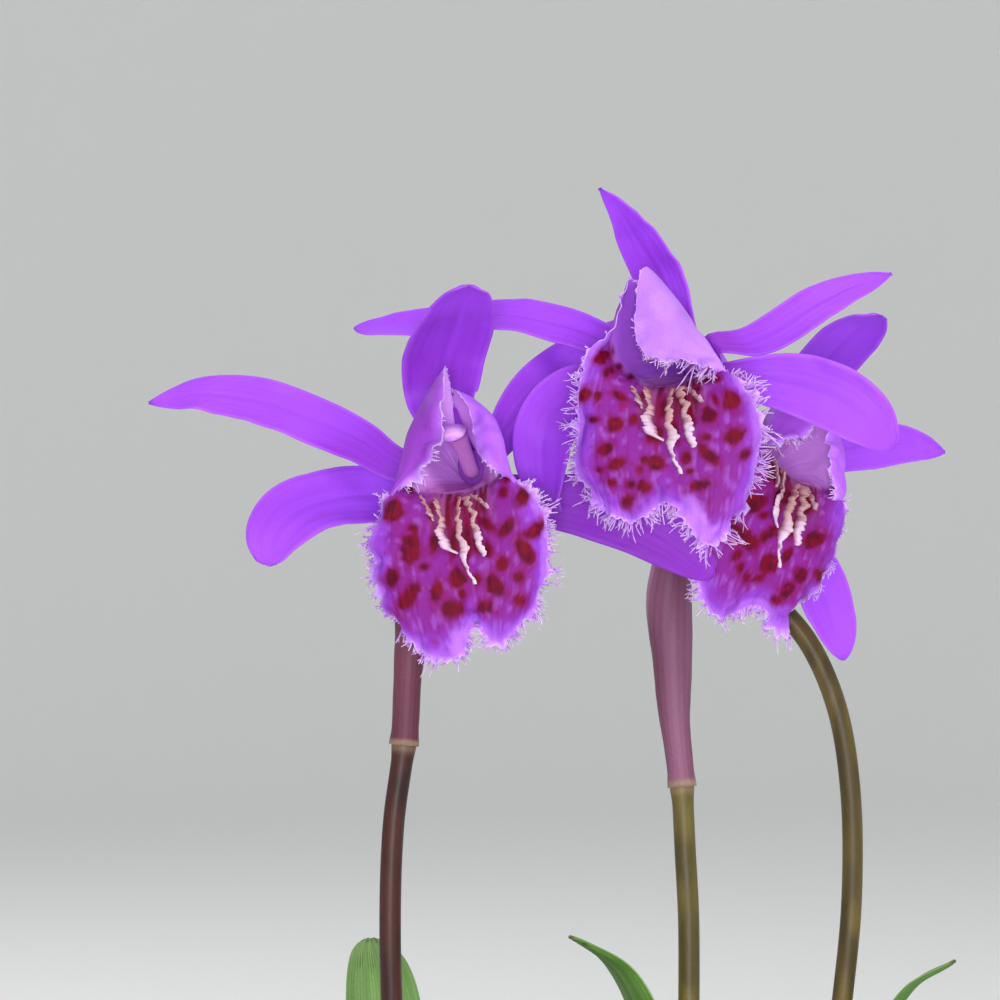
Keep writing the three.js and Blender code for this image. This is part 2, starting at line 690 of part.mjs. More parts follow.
function makeSheath(plant) {
  const curve = scapeCurve(plant);
  const length = curve.getLength();
  const end = (SHOOT_DEPTH + SHEATH_HEIGHT) / length;
  const radius = (t) => SHEATH_RADIUS - 0.25 * t * t;
  const wrap = THREE.MathUtils.degToRad(160);
  const halfAngle = (t) => wrap * (t < 0.5 ? 1 : Math.max(0.12, 1 - ((t - 0.5) / 0.5) ** 1.7));
  const surface = rolledSurface(curve, 0, end, radius, halfAngle, plant.leaf.away);
  return thinSheet(surface, places(7), 8, BRACT_THICKNESS);
}

// A blade along a curve. Its sides curl by the cup angle, and ripple adds pleats that run along it.
function bladeSurface(curve, acrossHint, width, cup, turn, ripple) {
  return (t, s) => {
    const tangent = curve.getTangentAt(t);
    const across = acrossHint.clone().addScaledVector(tangent, -acrossHint.dot(tangent)).normalize();
    const facing = tangent.clone().cross(across);
    const twist = turn(t);
    const side = across.clone().multiplyScalar(Math.cos(twist)).addScaledVector(facing, Math.sin(twist));
    const front = facing.multiplyScalar(Math.cos(twist)).addScaledVector(across, -Math.sin(twist));
    const angle = cup(t);
    const radius = width(t) / 2 / angle;
    const point = curve.getPointAt(t);
    point.addScaledVector(side, radius * Math.sin(s * angle));
    return point.addScaledVector(front, radius * (1 - Math.cos(s * angle)) + ripple(t, s));
  };
}

// Young leaf, channelled round the scape at its foot and pleated where it opens
function makeLeaf(plant) {
  const stem = scapeCurve(plant);
  const foot = plant.scape[0][2];
  const { away, reach, rise, width: breadth } = plant.leaf;
  const angle = THREE.MathUtils.degToRad(away);
  const outward = new THREE.Vector3(Math.cos(angle), Math.sin(angle), 0);
  const standoff = SCAPE_RADIUS + GAP + BLADE / 2 + 0.1;
  const profile = [
    [0, 0.001], [0, 0.1], [0, 0.2], [0, 0.3], [0, 0.4],
    [0.06, 0.58], [0.26, 0.78], [0.58, 0.93], [1, 1],
  ];
  const points = profile.map(([out, up]) => {
    const point = stem.getPointAt(placeAtHeight(stem, foot + (rise + SHOOT_DEPTH) * up));
    return point.addScaledVector(outward, standoff + reach * out);
  });
  const curve = new THREE.CatmullRomCurve3(points, false, 'centripetal');
  const across = new THREE.Vector3(0, 0, 1).cross(outward);
  const petiole = 3;
  const full = LEAF_WIDTH * breadth;
  const width = (t) => {
    const opened = THREE.MathUtils.lerp(petiole, full, smoothstep((t - 0.4) / 0.3));
    const narrowing = t < 0.72 ? 1 : Math.sqrt(Math.max(0, 1 - ((t - 0.72) / 0.28) ** 2));
    return Math.max(TIP_WIDTH, opened * narrowing);
  };
  const cup = (t) => THREE.MathUtils.lerp(0.75, 0.3, smoothstep((t - 0.4) / 0.3));
  const pleats = 2;
  const pleatHeight = (t) => 0.7 * smoothstep((t - 0.45) / 0.25) * (1 - t);
  const ripple = (t, s) => pleatHeight(t) * Math.cos(2 * Math.PI * pleats * s);
  const surface = bladeSurface(curve, across, width, cup, () => 0, ripple);
  return thinSheet(surface, places(11, 1.25), 8, BLADE);
}

// Width of a sepal or petal: a narrow claw, its widest place, then a pointed or rounded end
function tepalWidth(t, { width, widest, tip }) {
  if (t < widest) {
    return THREE.MathUtils.lerp(CLAW_WIDTH, width, Math.sin((Math.PI / 2) * (t / widest)) ** 0.85);
  }
  const rest = (t - widest) / (1 - widest);
  return Math.max(TIP_WIDTH, width * (1 - rest ** (tip + 0.5)) ** (1 / tip));
}

function tepalCurve(name, path) {
  const angle = THREE.MathUtils.degToRad(RING_ANGLES[name]);
  const ring = (radius, forward) => [radius * Math.cos(angle), forward, radius * Math.sin(angle)];
  const neck = name.startsWith('petal') ? PETAL_NECK : SEPAL_NECK;
  const points = [ring(TEPAL_RING, TEPAL_START), ring(TEPAL_RING + 0.9, neck), ...path];
  return new THREE.CatmullRomCurve3(points.map(bloomPoint), false, 'centripetal');
}

function makeTepal(name, shape) {
  const angle = THREE.MathUtils.degToRad(RING_ANGLES[name]);
  const radial = new THREE.Vector3(Math.cos(angle), 0, Math.sin(angle));
  const across = bloomPoint([0, 1, 0]).cross(radial);
  const curve = tepalCurve(name, shape.path);
  const width = (t) => tepalWidth(t, shape);
  const cup = (t) => shape.cup * (1 - 0.35 * t);
  const turn = (t) => THREE.MathUtils.degToRad(shape.turn) * smoothstep((t - 0.12) / 0.5);
  const surface = bladeSurface(curve, across, width, cup, turn, () => 0);
  return thinSheet(surface, places(TEPAL_ROWS, 1.25), TEPAL_COLUMNS, BLADE);
}

// How far lip and column have drifted sideways at a distance forward of the receptacle
function lipLean({ lean }, forward) {
  return lean * smoothstep(forward / LIP_THROAT_FORWARD);
}

// The lip as one smooth surface over its rows of control points, u across and v from base to apex
function lipSurface(lip) {
  const { left, right, width, drop, swing, apex } = lip;
  const place = ([outward, forward, up], sign, row, [shift, lift]) => {
    const blade = smoothstep((row - 3) / 3);
    const nearApex = smoothstep((row - 6.5) / 2.5);
    const spread = THREE.MathUtils.lerp(1, width, blade);
    const fall = up < 0 ? THREE.MathUtils.lerp(1, drop, blade) : 1;
    const x = sign * outward * spread + shift * nearApex;
    const z = up * fall + lift * nearApex - LIP_THROAT;
    const angle = THREE.MathUtils.degToRad(swing) * blade;
    const across = x * Math.cos(angle) - z * Math.sin(angle) + lipLean(lip, forward);
    return new THREE.Vector4(across, -forward, x * Math.sin(angle) + z * Math.cos(angle) + LIP_THROAT, 1);
  };
  const rows = LIP_BODY.map((body, row) => {
    const [leftEdge, rightEdge] = [left, right].map((lobe) => [...LIP_LOBES[lobe], ...LIP_BLADE_EDGE][row]);
    const leftHalf = [...body.slice(1), ...leftEdge].reverse();
    const rightHalf = [...body, ...rightEdge];
    const middle = leftHalf.length;
    return [...leftHalf, ...rightHalf].map((point, column) => {
      return place(point, column < middle ? -1 : 1, row, apex[column]);
    });
  });
  const columns = rows[0].map((_, column) => rows.map((row) => row[column]));
  const surface = new NURBSSurface(3, 3, clampedKnots(columns.length), clampedKnots(rows.length), columns);
  return (v, u) => {
    const point = new THREE.Vector3();
    surface.getPoint(u, v, point);
    return point;
  };
}

// Knots of a cubic spline that starts and ends on its first and last points
function clampedKnots(count) {
  const inner = Array.from({ length: count - 4 }, (_, i) => (i + 1) / (count - 3));
  return [0, 0, 0, 0, ...inner, 1, 1, 1, 1];
}

// Margin of the lip, p from 0 to 3: up the left side, along the apex and down the right side
function marginPlace(p) {
  if (p <= 1) {
    return [p, 0];
  }
  return p <= 2 ? [1, p - 1] : [3 - p, 1];
}

// Places along the margin, evenly spaced by length, with the length from the nearer end of each
function marginRoots(surface) {
  const samples = 600;
  const lengths = [0];
  for (let i = 1; i <= samples; i++) {
    const here = surface(...marginPlace((3 * i) / samples));
    const before = surface(...marginPlace((3 * (i - 1)) / samples));
    lengths.push(lengths[i - 1] + here.distanceTo(before));
  }
  const total = lengths[samples];
  const teeth = Math.round((total - 2 * FRINGE_START) / FRINGE_PITCH);
  const plain = 4;
  const wanted = [];
  for (let i = 0; i < plain; i++) {
    wanted.push((FRINGE_START * i) / plain);
  }
  for (let i = 0; i <= teeth; i++) {
    wanted.push(FRINGE_START + ((total - 2 * FRINGE_START) * i) / teeth);
  }
  for (let i = plain - 1; i >= 0; i--) {
    wanted.push(total - (FRINGE_START * i) / plain);
  }
  let index = 0;
  return wanted.map((length) => {
    while (index < samples - 1 && lengths[index + 1] < length) {
      index += 1;
    }
    const share = (length - lengths[index]) / (lengths[index + 1] - lengths[index]);
    return { p: Math.min(3, (3 * (index + share)) / samples), nearEnd: Math.min(length, total - length) };
  });
}

// Triangles between two lines of points that run side by side, each point with its own place p
function zip(inner, outer) {
  const triangles = [];
  let i = 0;
  let j = 0;
  while (i < inner.length - 1 || j < outer.length - 1) {
    const innerNext = i < inner.length - 1 ? (inner[i].p + inner[i + 1].p) / 2 : Infinity;
    const outerNext = j < outer.length - 1 ? (outer[j].p + outer[j + 1].p) / 2 : Infinity;
    if (innerNext < outerNext) {
      triangles.push([inner[i].index, outer[j].index, inner[i + 1].index]);
      i += 1;
    } else {
      triangles.push([inner[i].index, outer[j].index, outer[j + 1].index]);
      j += 1;
    }
  }
  return triangles;
}

// The fringed sheet of the lip: a grid inside, and teeth set edge to edge along the margin
function lipSheet(surface, random) {
  const points = [];
  const normals = [];
  const halves = [];
  const triangles = [];
  const add = (point, normal, half) => {
    points.push(point);
    normals.push(normal);
    halves.push(half);
    return points.length - 1;
  };
  const addAt = (v, u) => add(surface(v, u), surfaceNormal(surface, v, u, 0), LIP_THICKNESS / 2);
  const grid = [];
  for (let j = 0; j < LIP_ALONG; j++) {
    grid.push([]);
    for (let i = 1; i < LIP_ACROSS; i++) {
      grid[j].push(addAt(j / LIP_ALONG, i / LIP_ACROSS));
    }
  }
  const wide = LIP_ACROSS - 2;
  const long = LIP_ALONG - 1;
  for (let j = 0; j < long; j++) {
    for (let i = 0; i < wide; i++) {
      const [a, b, c, d] = [grid[j][i], grid[j][i + 1], grid[j + 1][i + 1], grid[j + 1][i]];
      triangles.push([a, b, c], [a, c, d]);
    }
  }
  const inner = [];
  for (let j = 0; j <= long; j++) {
    inner.push({ index: grid[j][0], p: j / long });
  }
  for (let i = 1; i <= wide; i++) {
    inner.push({ index: grid[long][i], p: 1 + i / wide });
  }
  for (let j = long - 1; j >= 0; j--) {
    inner.push({ index: grid[j][wide], p: 3 - j / long });
  }
  const roots = marginRoots(surface);
  const outer = roots.map(({ p, nearEnd }) => ({ index: addAt(...marginPlace(p)), p, nearEnd }));
  triangles.push(...zip(inner, outer).map(([a, b, c]) => [a, c, b]));
  for (let k = 0; k < outer.length - 1; k++) {
    const [a, b] = [outer[k], outer[k + 1]];
    const depth = Math.min(a.nearEnd, b.nearEnd);
    if (depth < FRINGE_START - 0.01) {
      continue;
    }
    const along = points[b.index].clone().sub(points[a.index]);
    const outward = normals[a.index].clone().cross(along).normalize();
    const short = THREE.MathUtils.lerp(0.3, 1, smoothstep((depth - FRINGE_START - 8) / 12));
    const reach = FRINGE_LENGTH * short * (0.75 + 0.5 * random());
    const tip = points[a.index].clone().addScaledVector(along, 0.5 + 0.4 * (random() - 0.5));
    tip.addScaledVector(outward, reach).addScaledVector(normals[a.index], 0.5 * short * (random() - 0.5));
    const tipIndex = add(tip, normals[a.index], LIP_THICKNESS / 4);
    triangles.push([a.index, b.index, tipIndex]);
  }
  return { points, normals, halves, triangles };
}

// One erose keel: a sharp ridge with a toothed crest, its foot sunk in the sheet
function makeKeel(surface, { from, to, start, end }, random) {
  const points = [];
  for (let section = 0; section < KEEL_SECTIONS; section++) {
    const share = section / (KEEL_SECTIONS - 1);
    const v = THREE.MathUtils.lerp(start, end, share);
    const u = 0.5 + THREE.MathUtils.lerp(from, to, share) / 2 + 0.006 * Math.sin(9 * share + 20 * from);
    const normal = surfaceNormal(surface, v, u, 0).negate();
    const side = surface(v, u + 0.01).sub(surface(v, u - 0.01)).normalize();
    const ends = Math.min(1, 6 * share + 0.3, 6 * (1 - share) + 0.3);
    const tooth = section % 2 === 0 ? 0.55 : 1;
    const foot = surface(v, u).addScaledVector(normal, -0.1);
    points.push(foot.clone().addScaledVector(side, -KEEL_HALF_WIDTH));
    points.push(foot.clone().addScaledVector(side, KEEL_HALF_WIDTH));
    const height = LIP_THICKNESS / 2 + KEEL_HEIGHT * ends * tooth * (0.8 + 0.4 * random());
    points.push(surface(v, u).addScaledVector(normal, height));
  }
  const triangles = [[0, 1, 2]];
  for (let section = 0; section < KEEL_SECTIONS - 1; section++) {
    for (let side = 0; side < 3; side++) {
      const a = section * 3 + side;
      const b = section * 3 + ((side + 1) % 3);
      triangles.push([a, b + 3, b], [a, a + 3, b + 3]);
    }
  }
  const last = (KEEL_SECTIONS - 1) * 3;
  triangles.push([last, last + 2, last + 1]);
  return solidFrom(points, triangles);
}

function makeLip(plant) {
  const random = seededRandom(100 + plant.name.charCodeAt(0));
  const surface = lipSurface(plant.lip);
  const { points, normals, halves, triangles } = lipSheet(surface, random);
  let lip = toSolid(thicken(points, normals, halves, triangles));
  for (const keel of KEELS) {
    lip = lip.add(toSolid(makeKeel(surface, keel, random)));
  }
  return fromSolid(lip);
}

// The arched column, winged below its anther
function makeColumn(plant) {
  const line = COLUMN_LINE.map(([forward, up]) => bloomPoint([lipLean(plant.lip, forward), forward, up]));
  const curve = new THREE.CatmullRomCurve3(line, false, 'centripetal');
  const halfWidth = (t) => readList(COLUMN_HALF_WIDTHS, t);
  const halfHeight = (t) => readList(COLUMN_HALF_HEIGHTS, t);
  return taperedTube(curve, places(9), 8, halfWidth, halfHeight);
}

const group = new THREE.Group();

function addMesh(parent, name, geometry, material) {
  const mesh = new THREE.Mesh(geometry, material);
  mesh.name = name;
  parent.add(mesh);
  return mesh;
}

addMesh(group, 'pot', makePot(), MATERIALS.clay());
addMesh(group, 'potting_mix', makeMix(), MATERIALS.bark());

for (const plant of PLANTS) {
  const { name } = plant;
  const bulb = addMesh(group, `${name}_pseudobulb`, makeBulb(plant), MATERIALS.bulb());
  bulb.position.set(plant.bulb.at[0], plant.bulb.at[1], bulbFoot(plant));
  addMesh(group, `${name}_shoot_sheath`, makeSheath(plant), MATERIALS.sheath());
  addMesh(group, `${name}_leaf`, makeLeaf(plant), MATERIALS.leaf());
  addMesh(group, `${name}_scape`, makeScape(plant), MATERIALS.scape());
  addMesh(group, `${name}_bract`, makeBract(plant), MATERIALS.bract());
  const bloom = new THREE.Group();
  bloom.position.copy(vector(plant.bloom.at));
  bloom.rotation.copy(bloomTurn(plant.bloom));
  group.add(bloom);
  for (const [tepal, shape] of Object.entries(plant.tepals)) {
    addMesh(bloom, `${name}_${tepal}`, makeTepal(tepal, shape), MATERIALS.tepal());
  }
  addMesh(bloom, `${name}_lip`, makeLip(plant), MATERIALS.lip());
  addMesh(bloom, `${name}_column`, makeColumn(plant), MATERIALS.column());
}

export default group;
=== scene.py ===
"""Looks of a potted Pleione orchid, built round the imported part.

Shapes are worked out in millimetres from the same named sizes as the solids, and go into Blender in metres.
Bloom points are [right, forward, up] from the receptacle, in the bloom's own frame.
"""
import math

import bpy
import numpy as np
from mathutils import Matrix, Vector


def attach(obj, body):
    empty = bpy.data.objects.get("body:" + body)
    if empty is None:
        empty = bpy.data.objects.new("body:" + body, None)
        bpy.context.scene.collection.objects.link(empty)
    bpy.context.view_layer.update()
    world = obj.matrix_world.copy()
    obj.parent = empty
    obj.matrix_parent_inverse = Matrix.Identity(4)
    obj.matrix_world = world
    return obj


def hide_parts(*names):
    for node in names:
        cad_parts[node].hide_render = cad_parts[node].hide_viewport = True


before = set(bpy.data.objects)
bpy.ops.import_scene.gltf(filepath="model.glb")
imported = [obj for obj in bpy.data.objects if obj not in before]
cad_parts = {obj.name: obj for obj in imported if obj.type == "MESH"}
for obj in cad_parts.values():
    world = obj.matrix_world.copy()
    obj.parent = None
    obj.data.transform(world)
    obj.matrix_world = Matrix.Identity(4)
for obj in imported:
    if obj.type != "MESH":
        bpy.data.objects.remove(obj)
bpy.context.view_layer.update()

MM = 0.001

# Pot and potting mix
POT_HEIGHT = 78
POT_RIM_RADIUS = 66
POT_BODY_TOP_RADIUS = 62
POT_FOOT_RADIUS = 46
POT_RIM_BAND = 16
POT_WALL = 5
POT_FLOOR = 6
DRAIN_RADIUS = 4.5
DRAIN_RING_RADIUS = 22
DRAIN_COUNT = 3
GAP = 0.3
MIX_LEVEL = 72
SHOOT_DEPTH = 11
BULB_HEIGHT = 23
BULB_RADIUS = 8.6
BULB_DEPTH = 8
ROUND_SIDES = 150

# Stem and thin parts
SCAPE_RADIUS = 1.55
PEDICEL_RADIUS = 1
OVARY_RADIUS = 1.9
RECEPTACLE_RADIUS = 3.8
NODE_RADIUS = 1.95
SHEATH_RADIUS = 3.55
SHEATH_HEIGHT = 27
LEAF_WIDTH = 13
TEPAL_RING = 3.3
TEPAL_START = 0.55
SEPAL_NECK = 1.7
PETAL_NECK = 3
CLAW_WIDTH = 2.3
TIP_WIDTH = 0.9

# Lip
LIP_THROAT = -3
LIP_THROAT_FORWARD = 19.6
FRINGE_START = 11
STRIP_ROWS = 4

# Half-lip rows from base to apex: midvein, quarter and half-way control points
LIP_BODY = [
    [[0, 0.4, -1.9], [0.9, 0.4, -1.7], [1.7, 0.4, -0.8]],
    [[0, 4, -2.6], [1.8, 4, -2], [2.6, 4, 0.2]],
    [[0, 9, -3.2], [2.6, 9, -2.2], [4.2, 9, 1]],
    [[0, 13.5, -3.2], [3.6, 13.5, -2.2], [6, 13.8, 1.2]],
    [[0, 17, -3], [4.2, 17.3, -2.4], [7.2, 17.5, 0.2]],
    [[0, 19.6, -4], [4.4, 20, -3.4], [7.8, 20.3, -1.4]],
    [[0, 21.3, -8], [4.6, 21.8, -7.4], [8.8, 22, -5.4]],
    [[0, 22.3, -13.2], [4.6, 22.8, -13.2], [9, 22.8, -12]],
    [[0, 22.8, -17.4], [4, 23.1, -18.8], [7.8, 22.8, -18.2]],
    [[0, 22.6, -18.4], [2.9, 23, -25.2], [6.6, 22.8, -22.8]],
]
LIP_BLADE_EDGE = [
    [[10.4, 21.6, -4.4], [11.4, 21, -3.6]],
    [[11.6, 22.2, -11], [13, 21, -10]],
    [[10.5, 22.3, -17], [12, 21.5, -15.8]],
    [[8.9, 22.2, -21], [9.9, 21.5, -19.6]],
]
LIP_LOBE_FOOT = [[2, 0.4, 0.2], [1.9, 0.4, 0.9]]
LIP_LOBES = {
    "parted_left": [
        [[3, 4.3, 4], [0.5, 4.6, 7.2]],
        [[4.4, 9.5, 10], [-0.3, 10, 17.4]],
        [[6.6, 14.6, 9], [-0.1, 15.8, 11.6]],
        [[8.2, 18, 4.6], [0.6, 19, 4.8]],
        [[8.8, 20.2, 0.2], [3, 20.8, 2.2]],
    ],
    "parted_right": [
        [[2.8, 4.3, 3.6], [0.3, 4.6, 5.8]],
        [[4.4, 9.5, 9], [0, 10, 12.8]],
        [[6.8, 14.2, 8.8], [3.4, 14.6, 9.6]],
        [[8, 17.7, 4.8], [3.9, 18, 5]],
        [[8.4, 20.2, 0.2], [3.8, 20.5, 0.9]],
    ],
    "under": [
        [[3, 4.3, 2.8], [1.6, 4.6, 5.2]],
        [[6, 9.2, 7], [2.6, 9.4, 13]],
        [[7.4, 13.2, 7], [3.4, 13.4, 14]],
        [[8.8, 16.6, 3.8], [6.2, 16.8, 5.6]],
        [[9.8, 19.8, 0.8], [11.2, 19.6, 3.6]],
    ],
    "over": [
        [[2.4, 4.3, 3], [0.6, 4.6, 5.4]],
        [[3, 9.8, 8.6], [0, 10.2, 18]],
        [[3.6, 15.2, 8.6], [-2, 15.6, 10]],
        [[5.4, 19, 4], [-4.2, 19, 0.8]],
        [[8.6, 20.8, 0.6], [4.4, 21, 1.4]],
    ],
}

# How large the keels of each lip are
KEEL_SCALE = {"a": 1.05, "b": 1.4, "c": 1.2}


def keel(start, end, height, fold, cream, across):
    return {"start": start, "end": end, "height": height, "fold": fold, "cream": cream, "across": across}


# Keels: start and end along the lip, how tall they are, which way the crest folds over, how cream it is,
# and places across the lip from throat to free end
KEELS = [
    keel(0.54, 0.68, 0.6, -0.9, 0.3, [-0.42, -0.36, -0.28, -0.24]),
    keel(0.54, 0.81, 1.15, -1, 0.8, [-0.26, -0.18, -0.14, -0.16, -0.04]),
    keel(0.54, 0.91, 1.15, 0.9, 1, [0.02, 0.02, -0.02, 0.02, 0.1]),
    keel(0.55, 0.83, 1.3, 1, 0.9, [0.08, 0.13, 0.16, 0.18, 0.25]),
    keel(0.54, 0.67, 0.6, 0.9, 0.3, [0.14, 0.22, 0.3, 0.36]),
]

# Places on the column as forward and up, and its half sizes from foot to tip
COLUMN_LINE = [
    [0.35, 0.2], [1.1, 0.2], [2.2, 0.8], [4.4, 2.4], [8, 4.4], [11, 5.6], [13.4, 5.4], [15, 4.2],
]
COLUMN_HALF_WIDTHS = [1.1, 1.1, 1.15, 1.3, 1.6, 2.2, 1.6]
COLUMN_HALF_HEIGHTS = [1, 1, 1, 1, 1, 1, 0.8]

RING_ANGLES = {
    "dorsal_sepal": 90,
    "petal_left": 150,
    "petal_right": 30,
    "lateral_sepal_left": 215,
    "lateral_sepal_right": 325,
}


def tepal(width, widest, tip, cup, turn, path):
    return {"width": width, "widest": widest, "tip": tip, "cup": cup, "turn": turn, "path": path}


PLANTS = [
    {
        "name": "a", "at": [-23.1, -10, 194.6], "roll": 10, "yaw": -8,
        "scape": [
            [-32.5, 2, 61], [-32.5, 2, 78], [-33, 2, 95], [-34.5, 1, 113],
            [-35, 0, 130.5], [-34.5, 0, 144.5], [-33, 0, 156],
            [-32.5, 1, 165], [-32, 2, 173.5], [-31.5, 4, 182], [-29.5, 5, 189.5], [-26.2, 3, 193.6],
        ],
        "node": 156,
        "bract": {"length": 36, "foot": 1.65, "full": 2.3, "opens": 60},
        "bulb": {"at": [-42.5, -8.5], "scale": 1},
        "leaf": {"away": 100, "reach": 17, "rise": 54, "width": 0.9},
        "lip": {
            "left": "parted_left", "right": "parted_right",
            "width": 0.95, "drop": 0.98, "lean": 0, "swing": -4,
            "apex": [
                [0, 0], [0, 0], [-0.6, -1.4], [2.6, -1.6], [0.9, 0.6], [0.4, 0], [0, 0], [0, 0], [0, 0],
            ],
        },
        "tepals": {
            "dorsal_sepal": tepal(11.6, 0.45, 2, 0.35, 0, [
                [-2, 1, 7.5], [-2.7, -1.5, 11.4], [-1.3, 0.5, 16.4],
                [1.8, 5.5, 20.4], [4.2, 11, 23.1], [6.1, 16, 24.7],
            ]),
            "petal_left": tepal(7.2, 0.6, 1.4, 0.4, 20, [
                [-9, 4.5, 2.5], [-14.5, 2.6, 6.8], [-21, 1, 11.1],
                [-29, 0.5, 15.5], [-36.5, 0.5, 17.6], [-44, 0.5, 17.8],
            ]),
            "petal_right": tepal(8.4, 0.5, 1.4, 0.4, 0, [
                [7.5, -3, 7.4], [13.1, -9, 11.6], [19, -15, 14.2], [24.2, -21, 16.7], [28, -25.5, 18],
            ]),
            "lateral_sepal_left": tepal(10.2, 0.66, 2, 0.35, 15, [
                [-12, 0.3, -1.2], [-18.5, 2, -0.4], [-24, 5.5, -1], [-27.5, 8, -3.5], [-30.2, 9, -7.6],
            ]),
            "lateral_sepal_right": tepal(9.5, 0.55, 1.7, 0.3, 0, [
                [9, 1, -5.5], [15, 0, -7.4], [21.5, -1.5, -10.8], [26.5, -2, -15.2], [30.4, -3.5, -20.4],
            ]),
        },
    },
    {
        "name": "b", "at": [8.3, -6, 209.7], "roll": 15, "yaw": -10,
        "scape": [
            [8, 6, 61], [8, 6, 78], [8, 6.6, 95], [8, 7.6, 112], [8, 8, 130], [7.5, 8, 140],
            [7, 8, 149.5], [6, 9, 159.5], [5.5, 10, 170.5], [5, 10, 182], [5.5, 10, 193.5],
            [6, 9, 202.5], [8.6, 4.5, 208.6],
        ],
        "node": 149.5,
        "bract": {"length": 45, "foot": 1.65, "full": 3.4, "opens": 150},
        "bulb": {"at": [3.5, -8.5], "scale": 0.94},
        "leaf": {"away": 200, "reach": 16, "rise": 56, "width": 1},
        "lip": {
            "left": "under", "right": "over",
            "width": 1, "drop": 0.92, "lean": -2, "swing": -15,
            "apex": [
                [0, 0], [0, 0], [0, 0.4], [-0.6, 1.2], [0.6, 0.6],
                [2.4, -2.4], [1, -2.6], [0.6, -1.4], [0, -1.2],
            ],
        },
        "tepals": {
            "dorsal_sepal": tepal(7.7, 0.32, 1.2, 0.75, 0, [
                [-1, 1.2, 8], [-1.6, 1, 14], [-2.6, 4.5, 19], [-3.4, 9, 23], [-5, 13, 26.5],
            ]),
            "petal_left": tepal(6.4, 0.6, 1.9, 0.4, 45, [
                [-9.5, 4, 5.5], [-16, 3, 10], [-23, 2.5, 13.4],
                [-31, 2, 15.2], [-39, 1.5, 16.6], [-46, 0.5, 18.2],
            ]),
            "petal_right": tepal(5.9, 0.5, 1.4, 0.4, 0, [
                [8, -0.9, 1.1], [12.5, -5, 2.2], [18, -9, 4.4], [23.5, -13, 5.6], [29, -17, 6.4],
            ]),
            "lateral_sepal_left": tepal(9, 0.6, 1.6, 0.45, 0, [
                [-10.5, 9, -0.5], [-15.5, 14, -0.5], [-20, 16.5, -3.5],
                [-22, 16.5, -8], [-22.5, 15.5, -12.5], [-22, 13.5, -15.5],
            ]),
            "lateral_sepal_right": tepal(9.6, 0.6, 1.6, 0.35, 0, [
                [9, 0.7, -4.5], [13.5, 0.5, -6.5], [18, 0.5, -9.6], [21.5, 0, -13.6], [24, -2, -18.6],
            ]),
        },
    },
    {
        "name": "c", "at": [18, 22, 195.2], "roll": -25, "yaw": 28,
        "scape": [
            [29.5, 22, 61], [29.5, 22, 78], [30, 24, 95], [31.5, 28, 112],
            [33.5, 31, 130], [33.5, 33, 147], [31.5, 34, 159.5],
            [27.5, 34, 168.8], [22.6, 34, 174.9], [17.4, 34, 180.5], [13.8, 33, 186],
            [12.6, 30.5, 191], [14.4, 27, 194.4],
        ],
        "node": 177.5,
        "bract": {"length": 17, "foot": 1.85, "full": 2.9, "opens": 200},
        "bulb": {"at": [41.5, 13.5], "scale": 0.9},
        "leaf": {"away": 345, "reach": 14, "rise": 50, "width": 0.85},
        "lip": {
            "left": "parted_left", "right": "parted_right",
            "width": 0.86, "drop": 1, "lean": -3.5, "swing": -9,
            "apex": [
                [0, -3], [0, -3], [1, -4], [2, -3.6], [2.8, -2.2], [5, 0.6], [3, 0.4], [0, 0], [0, 0],
            ],
        },
        "tepals": {
            "dorsal_sepal": tepal(9.5, 0.55, 1.6, 0.4, 0, [
                [2, 2.5, 10], [1.5, 4.5, 16], [1, 9, 20.5], [0, 15, 23], [-1, 21, 24],
            ]),
            "petal_left": tepal(7, 0.6, 1.4, 0.4, 0, [
                [-5, -5, 7.5], [-5, -12, 12], [-4.5, -20, 17], [-3.5, -28, 22],
            ]),
            "petal_right": tepal(7.2, 0.6, 1.4, 0.4, 0, [
                [11.5, -2.5, 8], [19.5, -6, 13], [28, -8.5, 17.5], [36, -10, 20],
            ]),
            "lateral_sepal_left": tepal(8.6, 0.5, 1.5, 0.35, 0, [
                [-8, 7.5, -8.5], [-13.5, 11.5, -13], [-18.5, 12.5, -16], [-23, 12, -17],
                [-26.5, 11.5, -17],
            ]),
            "lateral_sepal_right": tepal(9, 0.6, 1.6, 0.35, 0, [
                [10, 0.5, -6], [16.5, 0.5, -10], [22, 0.5, -14.5], [25.5, 2, -19.5],
            ]),
        },
    },
]

# The camera of the photograph: level, looking along +Y, 7 pixels to a millimetre at y = 0
CAMERA_DISTANCE = 600
CAMERA_SCALE = 7
CAMERA_X = (500 - 635) / CAMERA_SCALE
CAMERA_Z = 150 + (785 - 500) / CAMERA_SCALE
PHOTO_SIZE = 1000
SENSOR = 36

